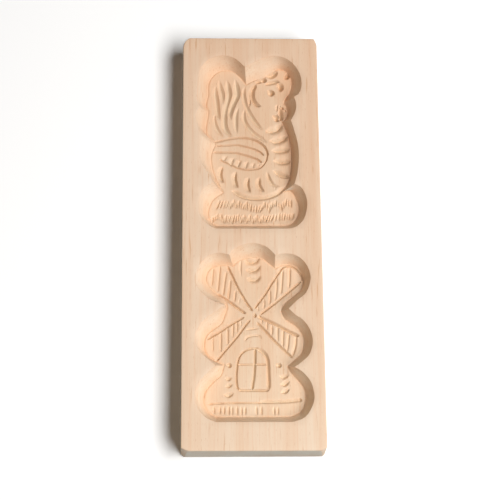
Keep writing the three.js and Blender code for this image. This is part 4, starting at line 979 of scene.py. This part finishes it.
@dataclass(frozen=True)
class SandedBeech:
    """Steamed beech, sanded along the grain and left without oil or varnish.

    It reads as a pale peach wood with faint streaks along the grain, short dark flecks, a few
    long pores and a dull sheen. It grows darker and rosier towards the far end. The face has a
    slight warm tint, so that the walls are the palest. A warm painted shade darkens the floors of
    the hollows, and a cool painted shade the deepest cuts. The end faces are greyer, partly as end
    grain and partly as painted shade, and the pores show there as fine dots.
    Each noise has a size across and one along the grain, and the span over which its mark
    comes in.
    """

    pale: str = "#F4E1C9"
    rosy: str = "#EBD0B5"
    streak: str = "#FAF0E8"
    grain: str = "#FCF4ED"
    fleck: str = "#DDBF9F"
    # A slight warm tint on the face, so that the walls stay the palest
    face_tint: str = "#FFF9F6"
    # Painted shade: a warm darkening of the hollows' floors, below the floor span
    painted_floor_shade: str = "#FDF4EC"
    # Painted shade: a cool darkening of the deepest cuts, below the cut span
    painted_cut_shade: str = "#F7FDFE"
    pore: str = "#F2E5D8"
    # The end faces' tone: greyer end grain, and partly painted shade of those faces
    end_grain_and_shade: str = "#E4DDCE"
    streak_mm: tuple[float, float] = (12.0, 260.0)
    grain_mm: tuple[float, float] = (0.9, 45.0)
    fleck_mm: tuple[float, float] = (0.5, 3.2)
    pore_mm: tuple[float, float] = (0.9, 16.0)
    streak_span: tuple[float, float] = (0.35, 0.68)
    grain_span: tuple[float, float] = (0.45, 0.75)
    fleck_span: tuple[float, float] = (0.66, 0.9)
    pore_span: tuple[float, float] = (0.72, 0.82)
    end_span: tuple[float, float] = (0.93, 0.99)
    far_mm: tuple[float, float] = (-120.0, 130.0)
    face_mm: tuple[float, float] = (21.2, 21.9)
    floor_mm: tuple[float, float] = (17.0, 13.5)
    cut_mm: tuple[float, float] = (12.2, 11.4)
    roughness: float = 0.58
    specular: float = 0.35
    bump: float = 0.25
    bump_mm: float = 0.05

    def material(self) -> bpy.types.Material:
        """Builds the material."""
        made = bpy.data.materials.new("sanded_beech")
        made.use_nodes = True
        tree = made.node_tree
        tree.nodes.clear()
        place = add_node(tree, "ShaderNodeTexCoord", {}, {})
        spot = add_node(tree, "ShaderNodeSeparateXYZ", {}, {0: place.outputs["Object"]})
        streaks = self.noise(tree, place, self.streak_mm, 2.0)
        grain = self.noise(tree, place, self.grain_mm, 3.0)
        flecks = self.noise(tree, place, self.fleck_mm, 1.0)
        # Darker and rosier towards the far end
        far = self.share(tree, spot.outputs[1], tuple(MM * y for y in self.far_mm))
        colour = add_node(
            tree, "ShaderNodeMix",
            {"data_type": "RGBA", "inputs": {6: linear(self.pale), 7: linear(self.rosy)}}, {0: far},
        ).outputs[2]
        high = self.share(tree, spot.outputs[2], tuple(MM * z for z in self.face_mm))
        low = self.share(tree, spot.outputs[2], tuple(MM * z for z in self.floor_mm))
        cuts = self.share(tree, spot.outputs[2], tuple(MM * z for z in self.cut_mm))
        pores = self.noise(tree, place, self.pore_mm, 0.0)
        # The face's slight warm tint, painted shade on the floors, and painted shade in the deepest cuts
        for mask, tint in ((high, self.face_tint), (low, self.painted_floor_shade), (cuts, self.painted_cut_shade)):
            colour = self.tinted(tree, mask, colour, linear(tint))
        # End faces: end grain tone, partly painted shade
        ends = self.end_mask(tree, place)
        colour = add_node(
            tree, "ShaderNodeMix",
            {"data_type": "RGBA", "inputs": {7: linear(self.end_grain_and_shade)}},
            {0: ends, 6: colour},
        ).outputs[2]
        layers = (
            (self.share(tree, streaks, self.streak_span), self.streak),
            (self.share(tree, grain, self.grain_span), self.grain),
            (self.share(tree, flecks, self.fleck_span), self.fleck),
            (self.share(tree, pores, self.pore_span), self.pore),
        )
        for mask, tint in layers:
            colour = self.tinted(tree, mask, colour, linear(tint))
        height = add_node(
            tree, "ShaderNodeMath", {"operation": "ADD"}, {0: grain, 1: flecks}
        ).outputs[0]
        bump = add_node(
            tree, "ShaderNodeBump",
            {"inputs": {"Strength": self.bump, "Distance": self.bump_mm * MM}},
            {"Height": height},
        )
        shader = add_node(
            tree, "ShaderNodeBsdfPrincipled",
            {"inputs": {"Roughness": self.roughness, "Specular IOR Level": self.specular}},
            {"Base Color": colour, "Normal": bump.outputs[0]},
        )
        add_node(tree, "ShaderNodeOutputMaterial", {}, {"Surface": shader.outputs[0]})
        return made

    @staticmethod
    def noise(
        tree: bpy.types.NodeTree, place: bpy.types.Node, size: tuple, detail: float
    ) -> bpy.types.NodeSocket:
        """Noise with a size across and one along the grain, in millimetres."""
        across, along = size
        mapping = add_node(
            tree, "ShaderNodeMapping",
            {"inputs": {"Scale": tuple(1 / (MM * p) for p in (across, along, across))}},
            {"Vector": place.outputs["Object"]},
        )
        return add_node(
            tree, "ShaderNodeTexNoise",
            {"inputs": {"Scale": 1.0, "Detail": detail, "Roughness": 0.5}},
            {"Vector": mapping.outputs[0]},
        ).outputs[0]

    @staticmethod
    def share(
        tree: bpy.types.NodeTree, value: bpy.types.NodeSocket, span: tuple[float, float]
    ) -> bpy.types.NodeSocket:
        """How far a value has got from the first to the second end of a span, from 0 to 1."""
        return add_node(
            tree, "ShaderNodeMapRange",
            {"inputs": {"From Min": span[0], "From Max": span[1]}},
            {"Value": value},
        ).outputs[0]

    @staticmethod
    def tinted(
        tree: bpy.types.NodeTree, mask: bpy.types.NodeSocket, colour: bpy.types.NodeSocket, tint: tuple
    ) -> bpy.types.NodeSocket:
        """A colour multiplied by a tint where a mask is high."""
        return add_node(
            tree, "ShaderNodeMix",
            {"data_type": "RGBA", "blend_type": "MULTIPLY", "inputs": {7: tint}}, {0: mask, 6: colour},
        ).outputs[2]

    def end_mask(self, tree: bpy.types.NodeTree, place: bpy.types.Node) -> bpy.types.NodeSocket:
        """A mask for faces that look along the grain, where the fibres end."""
        parts = add_node(tree, "ShaderNodeSeparateXYZ", {}, {0: place.outputs["Normal"]})
        along = add_node(tree, "ShaderNodeMath", {"operation": "ABSOLUTE"}, {0: parts.outputs[1]})
        return self.share(tree, along.outputs[0], self.end_span)


@dataclass
class Studio:
    """A white floor, one large soft light from the right, and the photograph's camera."""

    camera_mm: tuple[float, float, float] = (-31.2, -284.6, 854.2)
    camera_turn: tuple[float, float, float] = (18.22, -1.95, 0.08)
    focal_pixels: float = 1367.3
    image_pixels: float = 500.0
    sensor_mm: float = 36.0
    clip_end: float = 20.0
    key_mm: tuple[float, float, float] = (1370.0, -900.0, 2200.0)
    key_size_mm: tuple[float, float] = (1580.0, 3100.0)
    key_watts: float = 105.0
    fill_strength: float = 0.032
    fill_colour: str = "#FFEED6"
    card_strength: float = 0.97
    card_way: tuple[float, float, float] = (-0.97, 0.24, 0.0)
    card_span: tuple[float, float] = (0.78, 0.93)
    paper: float = 0.3
    paper_seen: float = 1.21
    paper_seen_far: float = 13.0
    paper_near: float = 0.35
    paper_half: float = 3.0

    def camera(self) -> None:
        """Puts the camera where it stood for the photograph."""
        data = bpy.data.cameras.new("camera")
        data.sensor_width = self.sensor_mm
        data.lens = self.sensor_mm * self.focal_pixels / self.image_pixels
        data.clip_end = self.clip_end
        made = bpy.data.objects.new("camera", data)
        x, y, z = (math.radians(angle) for angle in self.camera_turn)
        turn = Matrix.Rotation(x, 4, "X") @ Matrix.Rotation(y, 4, "Y") @ Matrix.Rotation(z, 4, "Z")
        made.matrix_world = Matrix.Translation(Vector(self.camera_mm) * MM) @ turn
        bpy.context.scene.collection.objects.link(made)
        bpy.context.scene.camera = made

    def lights(self) -> None:
        """One softbox on the right."""
        data = bpy.data.lights.new("softbox", "AREA")
        data.shape = "ELLIPSE"
        data.size, data.size_y = (side * MM for side in self.key_size_mm)
        data.energy = self.key_watts
        made = bpy.data.objects.new("softbox", data)
        made.location = Vector(self.key_mm) * MM
        bpy.context.scene.collection.objects.link(made)

    def room(self) -> None:
        """A dim room in a cream tone with a bright card on the left. The camera sees it white."""
        world = bpy.data.worlds.new("room")
        bpy.context.scene.world = world
        world.use_nodes = True
        tree = world.node_tree
        tree.nodes.clear()
        seen = self.seen_directly(tree)
        way = add_node(tree, "ShaderNodeTexCoord", {}, {})
        near = add_node(
            tree, "ShaderNodeVectorMath",
            {"operation": "DOT_PRODUCT", "inputs": {1: self.card_way}}, {0: way.outputs["Generated"]},
        )
        strength = add_node(
            tree, "ShaderNodeMapRange",
            {"inputs": {
                "From Min": self.card_span[0], "From Max": self.card_span[1],
                "To Min": self.fill_strength, "To Max": self.card_strength,
            }},
            {"Value": near.outputs["Value"]},
        )
        fill = add_node(
            tree, "ShaderNodeBackground",
            {"inputs": {"Color": linear(self.fill_colour)}}, {"Strength": strength.outputs[0]},
        )
        white = add_node(
            tree, "ShaderNodeBackground",
            {"inputs": {"Color": (1.0, 1.0, 1.0, 1.0), "Strength": 1.0}}, {},
        )
        mix = add_node(
            tree, "ShaderNodeMixShader", {}, {0: seen, 1: fill.outputs[0], 2: white.outputs[0]}
        )
        add_node(tree, "ShaderNodeOutputWorld", {}, {"Surface": mix.outputs[0]})

    @staticmethod
    def seen_directly(tree: bpy.types.NodeTree) -> bpy.types.NodeSocket:
        """One for rays from the camera, from a mirror or through glass, and otherwise nought."""
        path = add_node(tree, "ShaderNodeLightPath", {}, {})
        some = add_node(
            tree, "ShaderNodeMath", {"operation": "MAXIMUM"},
            {0: path.outputs["Is Camera Ray"], 1: path.outputs["Is Glossy Ray"]},
        )
        return add_node(
            tree, "ShaderNodeMath", {"operation": "MAXIMUM"},
            {0: some.outputs[0], 1: path.outputs["Is Transmission Ray"]},
        ).outputs[0]

    def floor(self) -> None:
        """A white sweep of paper under the board, which takes its shadow.

        The seen tone grows with the distance from the board, so that the far paper, which the
        softbox hardly reaches, is white too.
        """
        half = self.paper_half
        mesh = bpy.data.meshes.new("studio_floor")
        corners = [(-half, -half, 0), (half, -half, 0), (half, half, 0), (-half, half, 0)]
        mesh.from_pydata(corners, [], [(0, 1, 2, 3)])
        made = bpy.data.objects.new("studio_floor", mesh)
        bpy.context.scene.collection.objects.link(made)
        paper = bpy.data.materials.new("white_paper")
        paper.use_nodes = True
        tree = paper.node_tree
        tree.nodes.clear()
        place = add_node(tree, "ShaderNodeTexCoord", {}, {})
        away = add_node(
            tree, "ShaderNodeVectorMath", {"operation": "LENGTH"}, {0: place.outputs["Object"]}
        )
        tone = add_node(
            tree, "ShaderNodeMapRange",
            {"inputs": {
                "From Min": self.paper_near, "From Max": half,
                "To Min": self.paper_seen, "To Max": self.paper_seen_far,
            }},
            {"Value": away.outputs["Value"]},
        )
        white = add_node(
            tree, "ShaderNodeMapRange",
            {"inputs": {"To Min": self.paper}},
            {"Value": self.seen_directly(tree), "To Max": tone.outputs[0]},
        )
        matt = add_node(tree, "ShaderNodeBsdfDiffuse", {}, {"Color": white.outputs[0]})
        add_node(tree, "ShaderNodeOutputMaterial", {}, {"Surface": matt.outputs[0]})
        mesh.materials.append(paper)

    def build(self) -> None:
        """Sets up the whole studio."""
        scene = bpy.context.scene
        scene.view_settings.view_transform = "Standard"
        self.camera()
        self.lights()
        self.room()
        self.floor()


def main() -> None:
    """Builds the board, dresses it and sets up the studio."""
    logging.basicConfig(level=logging.INFO, format="%(name)s: %(message)s")
    board = MouldBoard().build()
    board.data.materials.append(SandedBeech().material())
    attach(board, "root")
    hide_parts("mould_board")
    LOG.info("%s: %d faces", board.name, len(board.data.polygons))
    Studio().build()


if __name__ == "__main__":
    main()
